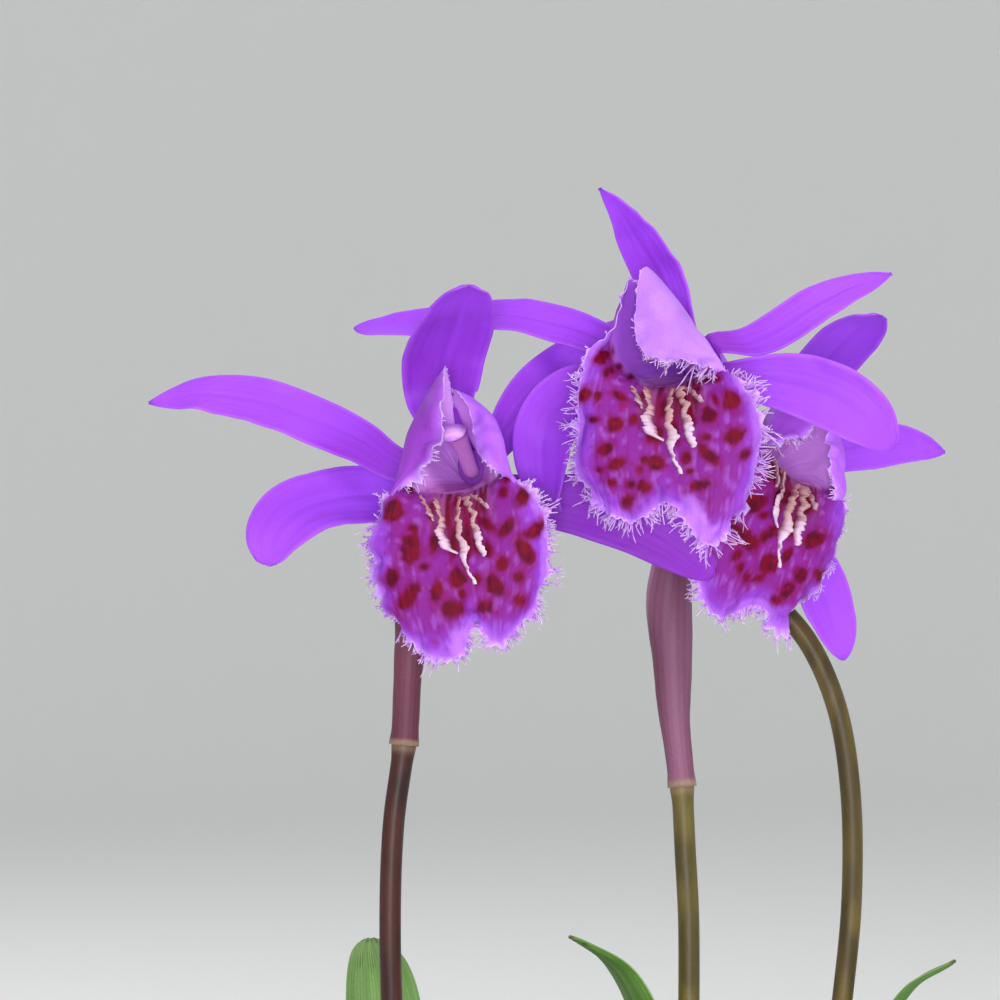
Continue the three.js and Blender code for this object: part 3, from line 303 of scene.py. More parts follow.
# Blotches on each lip as seen from the camera: pixel place across and down, then half length and
# half width in millimetres and the slope of the long axis in degrees, anticlockwise
LIP_SPOTS = {
    "a": [
        (394, 510, 1.5, 1.1, 70), (411, 549, 2.1, 1.2, 85), (412, 529, 0.6, 0.5, 0),
        (434, 544, 1.2, 0.6, 80), (393, 578, 1.3, 0.9, 70), (409, 597, 2, 1, 60),
        (436, 592, 1.4, 0.75, 80), (424, 567, 0.6, 0.4, 0), (458, 579, 1.5, 1.1, 100),
        (452, 608, 1.5, 1.4, 0), (486, 607, 1.1, 0.9, 0), (496, 585, 1.9, 1.2, 125),
        (518, 577, 0.9, 0.8, 0), (520, 601, 0.9, 0.8, 0), (502, 564, 1, 0.9, 0),
        (525, 551, 2, 0.9, 115), (535, 530, 1.9, 0.8, 40), (508, 527, 1.3, 0.7, 55),
        (523, 495, 1.3, 0.9, 80), (504, 493, 0.6, 0.4, 60), (507, 480, 0.5, 0.35, 60),
        (412, 482, 1.7, 0.5, 80), (459, 505, 1.2, 0.6, 85), (467, 542, 3, 0.5, 86),
        (454, 542, 2, 0.5, 86), (478, 541, 1.3, 0.6, 88), (488, 525, 1.2, 0.6, 140),
        (477, 580, 0.7, 0.5, 90), (488, 549, 0.9, 0.5, 100), (462, 593, 0.7, 0.5, 90),
    ],
    "b": [
        (601, 357, 1.2, 1, 30), (615, 349, 0.9, 0.5, 70), (624, 341, 0.8, 0.45, 60),
        (633, 336, 1.1, 0.4, 75), (628, 354, 1.2, 0.4, 60), (637, 362, 1.1, 0.4, 40),
        (620, 366, 1, 0.4, 50), (611, 371, 0.7, 0.4, 80), (632, 376, 0.9, 0.4, 40),
        (586, 396, 1.1, 0.7, 50), (598, 397, 0.9, 0.5, 80),
        (619, 396, 1.3, 0.6, 150), (606, 374, 0.7, 0.4, 80), (615, 424, 1.3, 1.1, 20),
        (633, 420, 0.8, 0.6, 60), (606, 449, 1.3, 1, 10), (618, 464, 1.5, 0.9, 25),
        (612, 482, 0.8, 0.7, 0), (631, 484, 0.7, 0.6, 0), (644, 487, 1, 0.9, 0),
        (628, 501, 1, 0.8, 60), (655, 462, 1.3, 1.2, 0), (658, 436, 1.4, 0.9, 80),
        (663, 410, 1.5, 0.6, 85), (675, 432, 1.6, 0.5, 95), (685, 402, 1.5, 0.5, 95),
        (691, 414, 1.7, 0.45, 110), (687, 458, 1.1, 0.9, 90), (690, 471, 0.6, 0.5, 0),
        (708, 455, 2.3, 0.9, 140), (707, 437, 0.8, 0.5, 0), (709, 416, 1.2, 1, 130),
        (732, 401, 1.5, 1.2, 100), (735, 436, 1.5, 1.2, 20), (700, 485, 1.8, 0.75, 15),
        (744, 455, 0.9, 0.6, 40), (708, 381, 0.6, 0.45, 0), (718, 380, 0.6, 0.45, 0),
        (698, 390, 0.5, 0.4, 0), (699, 361, 0.6, 0.4, 60), (645, 460, 0.7, 0.6, 0),
        (640, 470, 0.5, 0.4, 0), (594, 420, 0.7, 0.5, 0), (600, 470, 0.5, 0.35, 0),
        (716, 400, 0.8, 0.4, 110), (650, 438, 0.9, 0.6, 80),
    ],
    "c": [
        (776, 470, 1.6, 1.3, 60), (753, 503, 1.8, 1.3, 20), (783, 497, 1.2, 1, 30),
        (738, 535, 2.6, 1.3, 150), (737, 555, 0.8, 0.6, 60), (740, 567, 0.8, 0.5, 60),
        (747, 576, 0.7, 0.5, 70), (757, 579, 0.7, 0.4, 20), (768, 563, 1.5, 1.2, 40),
        (787, 590, 1.2, 0.8, 60), (764, 515, 0.6, 0.5, 0), (772, 532, 0.9, 0.6, 60),
        (716, 520, 0.9, 0.6, 20), (764, 537, 1, 0.6, 50), (786, 555, 1.3, 0.6, 60),
        (793, 530, 1.3, 0.8, 60), (806, 505, 1.4, 1, 60), (812, 540, 1.5, 1.1, 40),
        (800, 575, 1.1, 0.8, 60), (776, 600, 0.8, 0.6, 0), (820, 575, 1, 0.8, 0),
    ],
}

# Paler flaps beside the notch of the apex, given as the blotches are
LIP_FLAPS = {
    "a": [(462, 643, 2.2, 1.6, 80)],
    "b": [(684, 512, 2.4, 1.5, 60), (696, 524, 3.2, 2, 130)],
    "c": [],
}


# Small helpers

def ease(value):
    """A smooth step from 0 to 1."""
    x = np.clip(value, 0, 1)
    return x * x * (3 - 2 * x)


def lerp(a, b, share):
    return a + (b - a) * share


def past(t, start):
    """Share of the way from a start to 1, and 0 before the start."""
    return np.maximum(0, t - start) / (1 - start)


def bump(value, width):
    """A bell of that half width round 0."""
    return np.exp(-((value / width) ** 2))


def unit(vectors):
    return vectors / (np.linalg.norm(vectors, axis=-1, keepdims=True) + 1e-12)


def lengths_along(points, axis=0):
    """How far each point lies from the first one, along one axis of a grid of points."""
    steps = np.linalg.norm(np.diff(points, axis=axis), axis=-1)
    return np.cumsum(np.insert(steps, 0, 0, axis=axis), axis=axis)


def circle(sides):
    """Angles of a ring's corners."""
    return np.arange(sides) * 2 * math.pi / sides


def round_points(radius, angle, height):
    """Points at a radius, an angle and a height about the upright axis."""
    return np.stack(np.broadcast_arrays(radius * np.cos(angle), radius * np.sin(angle), height), -1)


def rotation(axis, angle):
    """The matrix of a turn about axis 0, 1 or 2."""
    i, j = (axis + 1) % 3, (axis + 2) % 3
    matrix = np.eye(3)
    matrix[i, i] = matrix[j, j] = math.cos(angle)
    matrix[j, i] = math.sin(angle)
    matrix[i, j] = -matrix[j, i]
    return matrix


def srgb(red, green, blue):
    """A colour of 0 to 255 as linear light."""
    c = np.array([red, green, blue], float) / 255
    return np.where(c <= 0.04045, c / 12.92, ((c + 0.055) / 1.055) ** 2.4)


def mix(a, b, weight):
    return a + (b - a) * np.asarray(weight)[..., None]


def coated(colour, *coats):
    """A colour under coats, each given as its own colour and weight."""
    for coat, weight in coats:
        colour = mix(colour, coat, weight)
    return colour


LATTICE_SIZE = 32
LATTICE = np.random.default_rng(7).random((LATTICE_SIZE,) * 3)


def noise(points, cell):
    """Smooth noise from -1 to 1, with cells of that many millimetres."""
    spots = points / cell
    low = np.floor(spots).astype(int)
    share = ease(spots - low)
    total = np.zeros(points.shape[:-1])
    for corner in range(8):
        offset = np.array([corner & 1, corner >> 1 & 1, corner >> 2 & 1])
        weight = np.prod(np.where(offset, share, 1 - share), axis=-1)
        x, y, z = np.moveaxis((low + offset) % LATTICE_SIZE, -1, 0)
        total += weight * LATTICE[x, y, z]
    return 2 * total - 1


def streaks(across, along, layer=0):
    """Noise over a blade's own places, which are stretched beforehand."""
    return noise(np.stack(np.broadcast_arrays(across, along, layer), -1), 1)


class Curve:
    """A centripetal Catmull-Rom curve, read by share of its length."""

    STEPS = 200

    def __init__(self, points):
        points = np.array(points, float)
        self.points = np.vstack([2 * points[0] - points[1], points, 2 * points[-1] - points[-2]])
        self.count = len(points) - 1
        self.samples = np.linspace(0, 1, self.STEPS + 1)
        self.lengths = lengths_along(self.point(self.samples))
        self.length = self.lengths[-1]

    def point(self, t):
        spot = np.clip(np.asarray(t, float), 0, 1) * self.count
        index = np.minimum(spot.astype(int), self.count - 1)
        x = (spot - index)[..., None]
        near = [self.points[index + k] for k in range(4)]
        d0, d1, d2 = (np.linalg.norm(b - a, axis=-1, keepdims=True) ** 0.5 for a, b in zip(near, near[1:]))
        p0, p1, p2, p3 = near
        start = ((p1 - p0) / d0 - (p2 - p0) / (d0 + d1) + (p2 - p1) / d1) * d1
        end = ((p2 - p1) / d1 - (p3 - p1) / (d1 + d2) + (p3 - p2) / d2) * d1
        square = -3 * p1 + 3 * p2 - 2 * start - end
        cube = 2 * p1 - 2 * p2 + start + end
        return p1 + start * x + square * x ** 2 + cube * x ** 3

    def place(self, share):
        return np.interp(np.asarray(share) * self.length, self.lengths, self.samples)

    def at(self, share):
        return self.point(self.place(share))

    def tangent(self, share):
        t = self.place(share)
        step = 1e-4
        return unit(self.point(np.minimum(1, t + step)) - self.point(np.maximum(0, t - step)))

    def share_at_height(self, height):
        """Where a curve that rises passes a height, by halving."""
        low, high = 0.0, 1.0
        for _ in range(30):
            middle = (low + high) / 2
            if self.at(middle)[2] < height:
                low = middle
            else:
                high = middle
        return low


def places(count, power):
    """Places from 0 to 1, closer together towards the end as the power grows."""
    return 1 - (1 - np.arange(count + 1) / count) ** power


def bloom_points(points):
    return np.asarray(points, float) * [1, -1, 1]


def bloom_matrix(plant):
    return rotation(2, math.radians(plant["yaw"])) @ rotation(1, math.radians(-plant["roll"]))


def to_pot(points, plant):
    """From a bloom's own frame to the part's frame."""
    return points @ bloom_matrix(plant).T + np.array(plant["at"], float)


def photo_pixel(points):
    """Where points show in the photograph."""
    scale = CAMERA_SCALE * CAMERA_DISTANCE / (CAMERA_DISTANCE + points[..., 1])
    across = PHOTO_SIZE / 2 + (points[..., 0] - CAMERA_X) * scale
    down = PHOTO_SIZE / 2 - (points[..., 2] - CAMERA_Z) * scale
    return across, down


# Mesh building

def grid_normals(grid):
    return unit(np.cross(np.gradient(grid, axis=1), np.gradient(grid, axis=0)))


def raised(grid, height):
    """A grid of points lifted off its own surface."""
    return grid + grid_normals(grid) * height[..., None]


def grid_faces(rows, columns, wrap=False):
    """Four-sided faces of a grid, facing along columns x rows."""
    last = columns if wrap else columns - 1
    i, j = np.meshgrid(np.arange(rows - 1), np.arange(last), indexing="ij")
    right = (j + 1) % columns
    faces = [i * columns + j, i * columns + right, (i + 1) * columns + right, (i + 1) * columns + j]
    return np.stack(faces, -1).reshape(-1, 4)


def border(rows, columns):
    """Indices round a grid's edge: up its first column, along the top, down its last and back."""
    left = np.arange(rows) * columns
    top = (rows - 1) * columns + np.arange(1, columns)
    right = (np.arange(rows - 2, -1, -1) + 1) * columns - 1
    bottom = np.arange(columns - 2, 0, -1)
    return np.concatenate([left, top, right, bottom])


def new_mesh(name, points, faces, smooth=True):
    mesh = bpy.data.meshes.new(name)
    mesh.from_pydata(points.tolist(), [], faces)
    mesh.polygons.foreach_set("use_smooth", np.full(len(mesh.polygons), smooth))
    return mesh


def placed(name, data):
    """A new object in the scene with that mesh, light or camera."""
    made = bpy.data.objects.new(name, data)
    bpy.context.scene.collection.objects.link(made)
    return made


class Body:
    """Points, faces and colours of one piece, gathered part by part."""

    def __init__(self):
        self.points, self.faces, self.colours = [], [], []
        self.count = 0

    def add(self, points, faces, colours):
        self.points.append(points)
        self.colours.append(colours)
        for group in faces:
            self.faces.extend((np.asarray(group) + self.count).tolist())
        self.count += len(points)
        return self

    def add_skin(self, middle, offset, faces, rim, front, back):
        """A closed thin body: the faces, moved off to both sides and joined along the rim."""
        count = len(middle)
        after = np.roll(rim, -1)
        wall = np.stack([rim, after, after + count, rim + count], -1)
        points = np.concatenate([middle + offset, middle - offset])
        return self.add(points, [faces, faces[:, ::-1] + count, wall], np.concatenate([front, back]))

    def add_sheet(self, middle, half, front, back):
        """A closed thin body on a grid of middle points."""
        size = middle.shape[:2]
        offset = grid_normals(middle) * np.broadcast_to(half, size)[..., None]
        front, back = (np.broadcast_to(colour, middle.shape).reshape(-1, 3) for colour in (front, back))
        middle, offset = middle.reshape(-1, 3), offset.reshape(-1, 3)
        return self.add_skin(middle, offset, grid_faces(*size), border(*size), front, back)

    def add_tube(self, rings, colours):
        """A closed tube from rings of points, [ring, side]."""
        count, sides = rings.shape[:2]
        ends = [[list(range(sides))[::-1]], [list(range((count - 1) * sides, count * sides))]]
        colours = np.broadcast_to(colours, rings.shape).reshape(-1, 3)
        return self.add(rings.reshape(-1, 3), [grid_faces(count, sides, wrap=True), *ends], colours)

    def add_round(self, rings, low, top, paint):
        """A body from rings about the upright axis, which start and end round two heights on it."""
        count, sides = rings.shape[:2]
        side = np.arange(sides)
        after = (side + 1) % sides
        last = (count - 1) * sides
        low_fan = np.stack([np.full(sides, count * sides), after, side], -1)
        top_fan = np.stack([np.full(sides, count * sides + 1), last + side, last + after], -1)
        points = np.concatenate([rings.reshape(-1, 3), [[0, 0, low], [0, 0, top]]])
        return self.add(points, [grid_faces(count, sides, wrap=True), low_fan, top_fan], paint(points))

    def piece(self, name, look, node=None):
        mesh = new_mesh(name, np.concatenate(self.points) * MM, self.faces)
        layer = mesh.color_attributes.new("Col", "FLOAT_COLOR", "POINT")
        rgba = np.ones((self.count, 4), np.float32)
        rgba[:, :3] = np.concatenate(self.colours)
        layer.data.foreach_set("color", rgba.ravel())
        mesh.materials.append(MATERIALS[look])
        mesh.update()
        made = placed(name, mesh)
        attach(made, "root")
        if node:
            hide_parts(node)
        return made


# Materials

# How deep the relief stands and how far light gets into a skin, in millimetres
RELIEF_DEPTH = 0.2
LIGHT_DEPTH = 0.8


def set_inputs(node, values):
    for name, value in values.items():
        node.inputs[name].default_value = value


def new_material(name):
    material = bpy.data.materials.new(name)
    material.use_nodes = True
    return material


def painted(name, roughness, relief, cell, mottle, subsurface=0.0, specular=0.3):
    """A finish that reads the piece's own colours, mottled and grained at a cell size in millimetres."""
    material = new_material(name)
    nodes, link = material.node_tree.nodes, material.node_tree.links.new
    shader = nodes["Principled BSDF"]
    colour = nodes.new("ShaderNodeVertexColor")
    colour.layer_name = "Col"
    place = nodes.new("ShaderNodeTexCoord")
    grain = nodes.new("ShaderNodeTexNoise")
    set_inputs(grain, {"Scale": 1 / (cell * MM), "Detail": 3})
    link(place.outputs["Object"], grain.inputs["Vector"])
    tone = nodes.new("ShaderNodeMapRange")
    set_inputs(tone, {"From Min": 0.3, "From Max": 0.7, "To Min": 1 - mottle, "To Max": 1 + mottle})
    link(grain.outputs["Fac"], tone.inputs["Value"])
    scaled = nodes.new("ShaderNodeVectorMath")
    scaled.operation = "SCALE"
    link(colour.outputs["Color"], scaled.inputs[0])
    link(tone.outputs["Result"], scaled.inputs["Scale"])
    link(scaled.outputs["Vector"], shader.inputs["Base Color"])
    bumps = nodes.new("ShaderNodeBump")
    set_inputs(bumps, {"Strength": relief, "Distance": RELIEF_DEPTH * MM})
    link(grain.outputs["Fac"], bumps.inputs["Height"])
    link(bumps.outputs["Normal"], shader.inputs["Normal"])
    rough = nodes.new("ShaderNodeMapRange")
    set_inputs(rough, {"To Min": roughness - 0.08, "To Max": roughness + 0.08})
    link(grain.outputs["Fac"], rough.inputs["Value"])
    link(rough.outputs["Result"], shader.inputs["Roughness"])
    set_inputs(shader, {
        "Specular IOR Level": specular, "Subsurface Weight": subsurface,
        "Subsurface Radius": (1, 0.6, 1), "Subsurface Scale": LIGHT_DEPTH * MM,
    })
    return material


# Each look's name, roughness, relief, grain cell and mottle, then its own subsurface and specular
MATERIALS = {
    "clay": painted("fired_clay", 0.88, 0.6, 0.9, 0.1, specular=0.2),
    "mix": painted("bark_chips", 0.92, 0.9, 0.7, 0.25, specular=0.2),
    "pseudobulb": painted("pseudobulb_skin", 0.5, 0.25, 0.5, 0.12),
    "sheath": painted("dry_sheath", 0.75, 0.3, 0.4, 0.12),
    "leaf": painted("leaf_skin", 0.48, 0.15, 0.3, 0.08, 0.15),
    "scape": painted("scape_skin", 0.45, 0.15, 0.3, 0.1, 0.1),
    "bract": painted("bract_tissue", 0.55, 0.15, 0.3, 0.08, 0.3),
    "tepal": painted("tepal_tissue", 0.55, 0.12, 0.25, 0.05, 0.25, 0.25),
    "lip": painted("lip_tissue", 0.6, 0.25, 0.25, 0.08, 0.12, 0.12),
    "keel": painted("keel_tissue", 0.5, 0.2, 0.25, 0.05, 0.5),
    "fringe": painted("fringe_hair", 0.4, 0, 0.3, 0.05, 0.4),
    "column": painted("column_tissue", 0.4, 0.1, 0.3, 0.05, 0.4),
}


# Pot

def pot_inner_radius(height):
    foot, rim = POT_FOOT_RADIUS - POT_WALL, POT_RIM_RADIUS - POT_WALL
    return foot + (rim - foot) * (height - POT_FLOOR) / (POT_HEIGHT - POT_FLOOR)


def dense_line(corners, step, rounding):
    """Points along straight lines between corners, with the corners rounded off."""
    corners = np.array(corners, float)
    lengths = lengths_along(corners)
    wanted = np.linspace(0, lengths[-1], int(lengths[-1] / step) + 1)

    def read(at):
        return np.stack([np.interp(at, lengths, corners[:, k]) for k in range(2)], -1)

    return sum(read(wanted + shift) for shift in (-rounding, 0, rounding)) / 3


def clay_colours(points):
    height = points[:, 2]
    off_middle = np.hypot(points[:, 0], points[:, 1]) > 20
    salts = ease(noise(points + 40, 9) * 1.3 + noise(points, 2.2) * 0.6 - 0.1)
    near_ends = np.clip(ease((height - 55) / 25) + ease((14 - height) / 14), 0, 1)
    worn = ease((height - POT_HEIGHT + 1.6) / 1.6) * ease(0.5 + noise(points, 3))
    return coated(
        srgb(176, 98, 64),
        (srgb(150, 78, 50), ease(0.5 + noise(points, 14) * 0.5 + noise(points, 4) * 0.3)),
        (srgb(214, 186, 160), 0.5 * salts * near_ends),
        (srgb(110, 60, 42), 0.45 * ease((24 + 8 * noise(points, 12) - height) / 14) * off_middle),
        (srgb(205, 140, 105), 0.5 * worn),
    )


def make_pot():
    band_bottom = POT_HEIGHT - POT_RIM_BAND
    cove = 3.6
    corners = [
        [0, 0], [POT_FOOT_RADIUS, 0], [POT_BODY_TOP_RADIUS, band_bottom],
        [POT_RIM_RADIUS, band_bottom], [POT_RIM_RADIUS, POT_HEIGHT],
        [pot_inner_radius(POT_HEIGHT), POT_HEIGHT],
        [pot_inner_radius(POT_FLOOR + cove), POT_FLOOR + cove],
        [pot_inner_radius(POT_FLOOR) - cove, POT_FLOOR], [0, POT_FLOOR],
    ]
    radius, height = dense_line(corners, 1.4, 0.7)[1:-1].T[..., None]
    angle = circle(ROUND_SIDES)
    rings = round_points(radius, angle, height)
    wall = ease((radius - 30) / 12) * ease((height - 1) / 3)
    throwing_lines = 0.07 * np.sin(2 * math.pi * height / 2.6 + 0.4 * np.sin(angle)) + 0.12 * noise(rings, 9)
    rings = rings + round_points(1, angle, 0) * ((throwing_lines - 0.2) * wall)[..., None]
    drill_drains(Body().add_round(rings, 0, POT_FLOOR, clay_colours).piece("pot_fine", "clay", "pot"))


def drill_drains(pot):
    """Cuts the drain holes through the floor."""
    holes = Body()
    for index in range(DRAIN_COUNT):
        middle = round_points(DRAIN_RING_RADIUS, 2 * math.pi * (index + 0.25) / DRAIN_COUNT, 0)
        rings = np.stack([round_points(DRAIN_RADIUS, circle(40), z) for z in (-2, POT_FLOOR + 2)])
        holes.add_tube(rings + middle, srgb(150, 80, 52))
    mesh = new_mesh("drains", np.concatenate(holes.points) * MM, holes.faces, smooth=False)
    cutter = placed("drains", mesh)
    cut = pot.modifiers.new("drains", "BOOLEAN")
    cut.operation = "DIFFERENCE"
    cut.solver = "EXACT"
    cut.object = cutter
    bpy.context.view_layer.update()
    graph = bpy.context.evaluated_depsgraph_get()
    evaluated = pot.evaluated_get(graph)
    pot.data = bpy.data.meshes.new_from_object(evaluated, preserve_all_data_layers=True, depsgraph=graph)
    pot.modifiers.clear()
    bpy.data.objects.remove(cutter)


# Potting mix

BARKS = [
    srgb(88, 58, 38), srgb(64, 42, 29), srgb(112, 78, 52),
    srgb(134, 98, 68), srgb(52, 36, 27), srgb(98, 66, 48),
]
CHIP_COUNT = 620


def bulb_foot(plant):
    return MIX_LEVEL - BULB_DEPTH * plant["bulb"]["scale"]


def clearances(plant, x, y):
    """How far a place in the mix is from a plant's pseudobulb and from its shoot."""
    bulb_x, bulb_y = plant["bulb"]["at"]
    shoot_x, shoot_y, _ = plant["scape"][0]
    from_bulb = np.hypot(x - bulb_x, y - bulb_y) - BULB_RADIUS * plant["bulb"]["scale"]
    return from_bulb, np.hypot(x - shoot_x, y - shoot_y) - SHEATH_RADIUS


def mix_height(x, y):
    """Top of the settled mix, drawn down round each pseudobulb and shoot."""
    points = np.stack([x, y, 0 * x], -1)
    height = MIX_LEVEL + 0.9 * noise(points, 7) + 0.5 * noise(points + 9, 2.6) + 0.2 * noise(points, 1.1)
    height = height - 1.2 * (1 - ease((pot_inner_radius(MIX_LEVEL) - np.hypot(x, y)) / 6))
    for plant in PLANTS:
        from_bulb, from_shoot = clearances(plant, x, y)
        height = lerp(bulb_foot(plant) - GAP, height, ease((from_bulb + 1.2) / 1.6))
        hole = lerp(MIX_LEVEL - SHOOT_DEPTH - GAP, MIX_LEVEL + 2, ease(from_shoot / 1.4))
        height = np.minimum(height, hole)
    return height


def chip(random):
    """One splinter of bark: a rough, flattened block with chewed corners."""
    theta, phi = np.meshgrid(circle(8), np.linspace(-1, 1, 5) * 1.25)
    points = round_points(np.cos(phi), theta, np.sin(phi))
    points = np.sign(points) * np.abs(points) ** 0.55
    points *= 1 + 0.28 * (random.random(points.shape) - 0.5)
    return points * [random.uniform(2, 5.4), random.uniform(1.2, 3), random.uniform(0.6, 1.4)]


def chip_turn(random):
    turn, tilt, lean = random.uniform(0, 2 * math.pi), random.normal(0, 0.28), random.normal(0, 0.28)
    return rotation(2, turn) @ rotation(0, tilt) @ rotation(1, lean)


def crumb_colours(points):
    return mix(srgb(58, 40, 28), srgb(40, 28, 21), ease(0.5 + noise(points, 2.5)))


def make_mix():
    body = Body()
    ring_count = 60
    edge = pot_inner_radius(MIX_LEVEL - 1) - GAP - 0.7
    angle = circle(ROUND_SIDES)
    radius = edge * (np.arange(ring_count) + 1)[:, None] / ring_count
    top = round_points(radius, angle, mix_height(radius * np.cos(angle), radius * np.sin(angle)))
    foot = POT_FLOOR + 4
    under = [(pot_inner_radius(z) - 1.2, z) for z in np.linspace(MIX_LEVEL - 5, foot, 8)]
    under.append((pot_inner_radius(foot) - 6, POT_FLOOR + GAP))
    lower = np.array([round_points(r, angle, z) for r, z in under])
    surface = np.concatenate([top, lower])[::-1]
    body.add_round(surface, POT_FLOOR + GAP, mix_height(0.0, 0.0), crumb_colours)
    add_chips(body, edge)
    body.piece("potting_mix_fine", "mix", "potting_mix")


def add_chips(body, edge):
    random = np.random.default_rng(23)
    laid = 0
    while laid < CHIP_COUNT:
        away = math.sqrt(random.random()) * (edge - 3.2)
        turn = random.uniform(0, 2 * math.pi)
        x, y = away * math.cos(turn), away * math.sin(turn)
        clear = min(distance for plant in PLANTS for distance in clearances(plant, x, y))
        if clear < 2:
            continue
        shape = chip(random) * min(1, 0.45 + clear / 9) @ chip_turn(random).T
        shape = shape + [x, y, mix_height(x, y) + random.uniform(-0.2, 0.9)]
        if np.hypot(shape[..., 0], shape[..., 1]).max() > edge - 0.3:
            continue
        shade = BARKS[random.integers(len(BARKS))] * random.uniform(0.8, 1.2)
        grain = 1 + 0.25 * noise(shape * [1, 3, 3], 1.4)
        body.add_tube(shape, shade * grain[..., None])
        laid += 1


# Pseudobulbs

BULB_PROFILE = [
    [0.12, 0], [0.52, 0.02], [0.87, 0.11], [1, 0.28], [0.96, 0.45],
    [0.78, 0.64], [0.5, 0.79], [0.3, 0.87], [0.27, 0.93], [0.2, 0.985], [0.06, 1],
]
BULB_LINE = Curve([[radius, height, 0] for radius, height in BULB_PROFILE])


def bulb_place(plant):
    return [*plant["bulb"]["at"], bulb_foot(plant)]


def make_bulb(plant, seed):
    scale = plant["bulb"]["scale"]
    radius, height, _ = BULB_LINE.at(np.linspace(0, 1, 60)).T[..., None]
    angle = circle(90)
    middle = ease(height / 0.2) * ease((0.97 - height) / 0.3)
    ribs = 0.028 * np.cos(9 * angle + 1.2 * np.sin(2 * angle + seed)) * middle
    radius = radius * (1 + ribs - 0.012)
    rings = round_points(radius * BULB_RADIUS * scale, angle, height * BULB_HEIGHT * scale)
    warts = noise(rings + 5 * seed, 1.1) * middle
    rings = rings + round_points(1, angle, 0) * (0.09 * warts)[..., None] + bulb_place(plant)
    green = coated(
        srgb(96, 118, 58),
        (srgb(66, 86, 42), ease(0.5 + noise(rings, 3))),
        (srgb(88, 44, 58), 0.75 * ease(0.35 + noise(rings + 30, 4) + (height - 0.45))),
        (srgb(70, 66, 40), ease((0.42 - height) / 0.25)),
        (srgb(140, 132, 84), 0.8 * ease(warts * 2 - 0.7)),
        (srgb(120, 92, 60), ease((height - 0.9) / 0.05)),
    )
    body = Body().add_tube(rings, green)
    add_old_coat(body, plant, seed)
    body.piece(f"{plant['name']}_pseudobulb_fine", "pseudobulb", f"{plant['name']}_pseudobulb")


def add_old_coat(body, plant, seed):
    """Torn, papery remains of last year's coat round the foot of a pseudobulb."""
    scale = plant["bulb"]["scale"]
    random = np.random.default_rng(50 + seed)
    across = np.linspace(-1, 1, 11)
    foot = 0.16
    for scrap in range(9):
        start, width = random.uniform(0, 2 * math.pi), random.uniform(0.25, 0.6)
        tall = random.uniform(0.42, 0.68)
        share = np.linspace(foot, tall, 16)[:, None]
        taper = np.clip(1 - ((share - foot) / (tall - foot)) ** 2.4, 0.05, 1)
        angle = start + width * across * taper + 0.05 * np.sin(14 * share)
        radius, height, _ = BULB_LINE.at(share[:, 0]).T[..., None]
        lift = 0.22 + 0.9 * ease((share - 0.3) / 0.4) * random.uniform(0.3, 1)
        middle = round_points(radius * BULB_RADIUS * scale + lift, angle, height * BULB_HEIGHT * scale)
        middle = raised(middle, 0.12 * noise(middle * 3 + scrap, 1.3)) + bulb_place(plant)
        tan = mix(srgb(176, 150, 104), srgb(120, 92, 58), 0.3 + 0.3 * np.cos(across * 22))
        body.add_sheet(middle, 0.06, tan, tan * 0.9)


# Stems

def scape_curve(plant):
    forward = bloom_matrix(plant) @ bloom_points([0, 1, 0])
    receptacle = np.array(plant["at"], float)
    return Curve([*plant["scape"], receptacle - 3 * forward, receptacle])


def about_curve(curve, share, wide, lift):
    """Points about a curve, so far along each of its two cross directions."""
    tangent = curve.tangent(share)
    first = unit(np.array([1.0, 0, 0]) - tangent * tangent[..., :1])
    second = np.cross(tangent, first)
    return curve.at(share)[:, None] + first[:, None] * wide[..., None] + second[:, None] * lift[..., None]


def scape_radius(past_node, to_end):
    swelling = (NODE_RADIUS - SCAPE_RADIUS - 0.15) * bump(past_node, 1.8)
    pedicel = lerp(PEDICEL_RADIUS, OVARY_RADIUS, ease((28 - to_end) / 20))
    upper = lerp(RECEPTACLE_RADIUS, pedicel, ease(to_end / 9))
    return lerp(SCAPE_RADIUS + swelling, upper, ease(past_node / 0.8))


# Light and dark tones of each scape; a's maroon-brown is painted darker as painted shade
SCAPE_COLOURS = {
    "a": (srgb(70, 36, 32), srgb(46, 24, 22)),
    "b": (srgb(104, 92, 44), srgb(76, 66, 32)),
    "c": (srgb(100, 84, 42), srgb(72, 60, 32)),
}


def make_scape(plant):
    curve = scape_curve(plant)
    node = curve.share_at_height(plant["node"])
    share = np.union1d(np.linspace(0, 1, 170), node + np.linspace(-6, 5, 40) / curve.length)
    angle = circle(26)
    to_end = ((1 - share) * curve.length)[:, None]
    past_node = ((share - node) * curve.length)[:, None]
    ovary = ease((26 - to_end) / 8) * ease((to_end - 2) / 5)
    ribs = (1 + 0.09 * ovary * (np.cos(6 * angle) - 1) / 2) * (1 + 0.012 * np.cos(9 * angle) * (1 - ovary))
    radius = scape_radius(past_node, to_end) * ribs
    rings = about_curve(curve, share, radius * np.cos(angle), radius * np.sin(angle))
    light, dark = SCAPE_COLOURS[plant["name"]]
    tone = ease(0.5 + noise(rings * [1, 1, 0.3], 1.6) * 0.9)
    colour = coated(
        light,
        (dark, tone),
        (mix(srgb(150, 78, 128), srgb(120, 52, 104), tone), 0.85 * ease(past_node / 4)),
        (srgb(150, 66, 190), ease((9 - to_end) / 6)),
        (srgb(150, 126, 104), 0.45 * bump(past_node + 0.6, 0.7)),
        (srgb(150, 150, 96), 0.8 * ease((96 - rings[..., 2]) / 24)),
    )
    Body().add_tube(rings, colour).piece(f"{plant['name']}_scape_fine", "scape", f"{plant['name']}_scape")


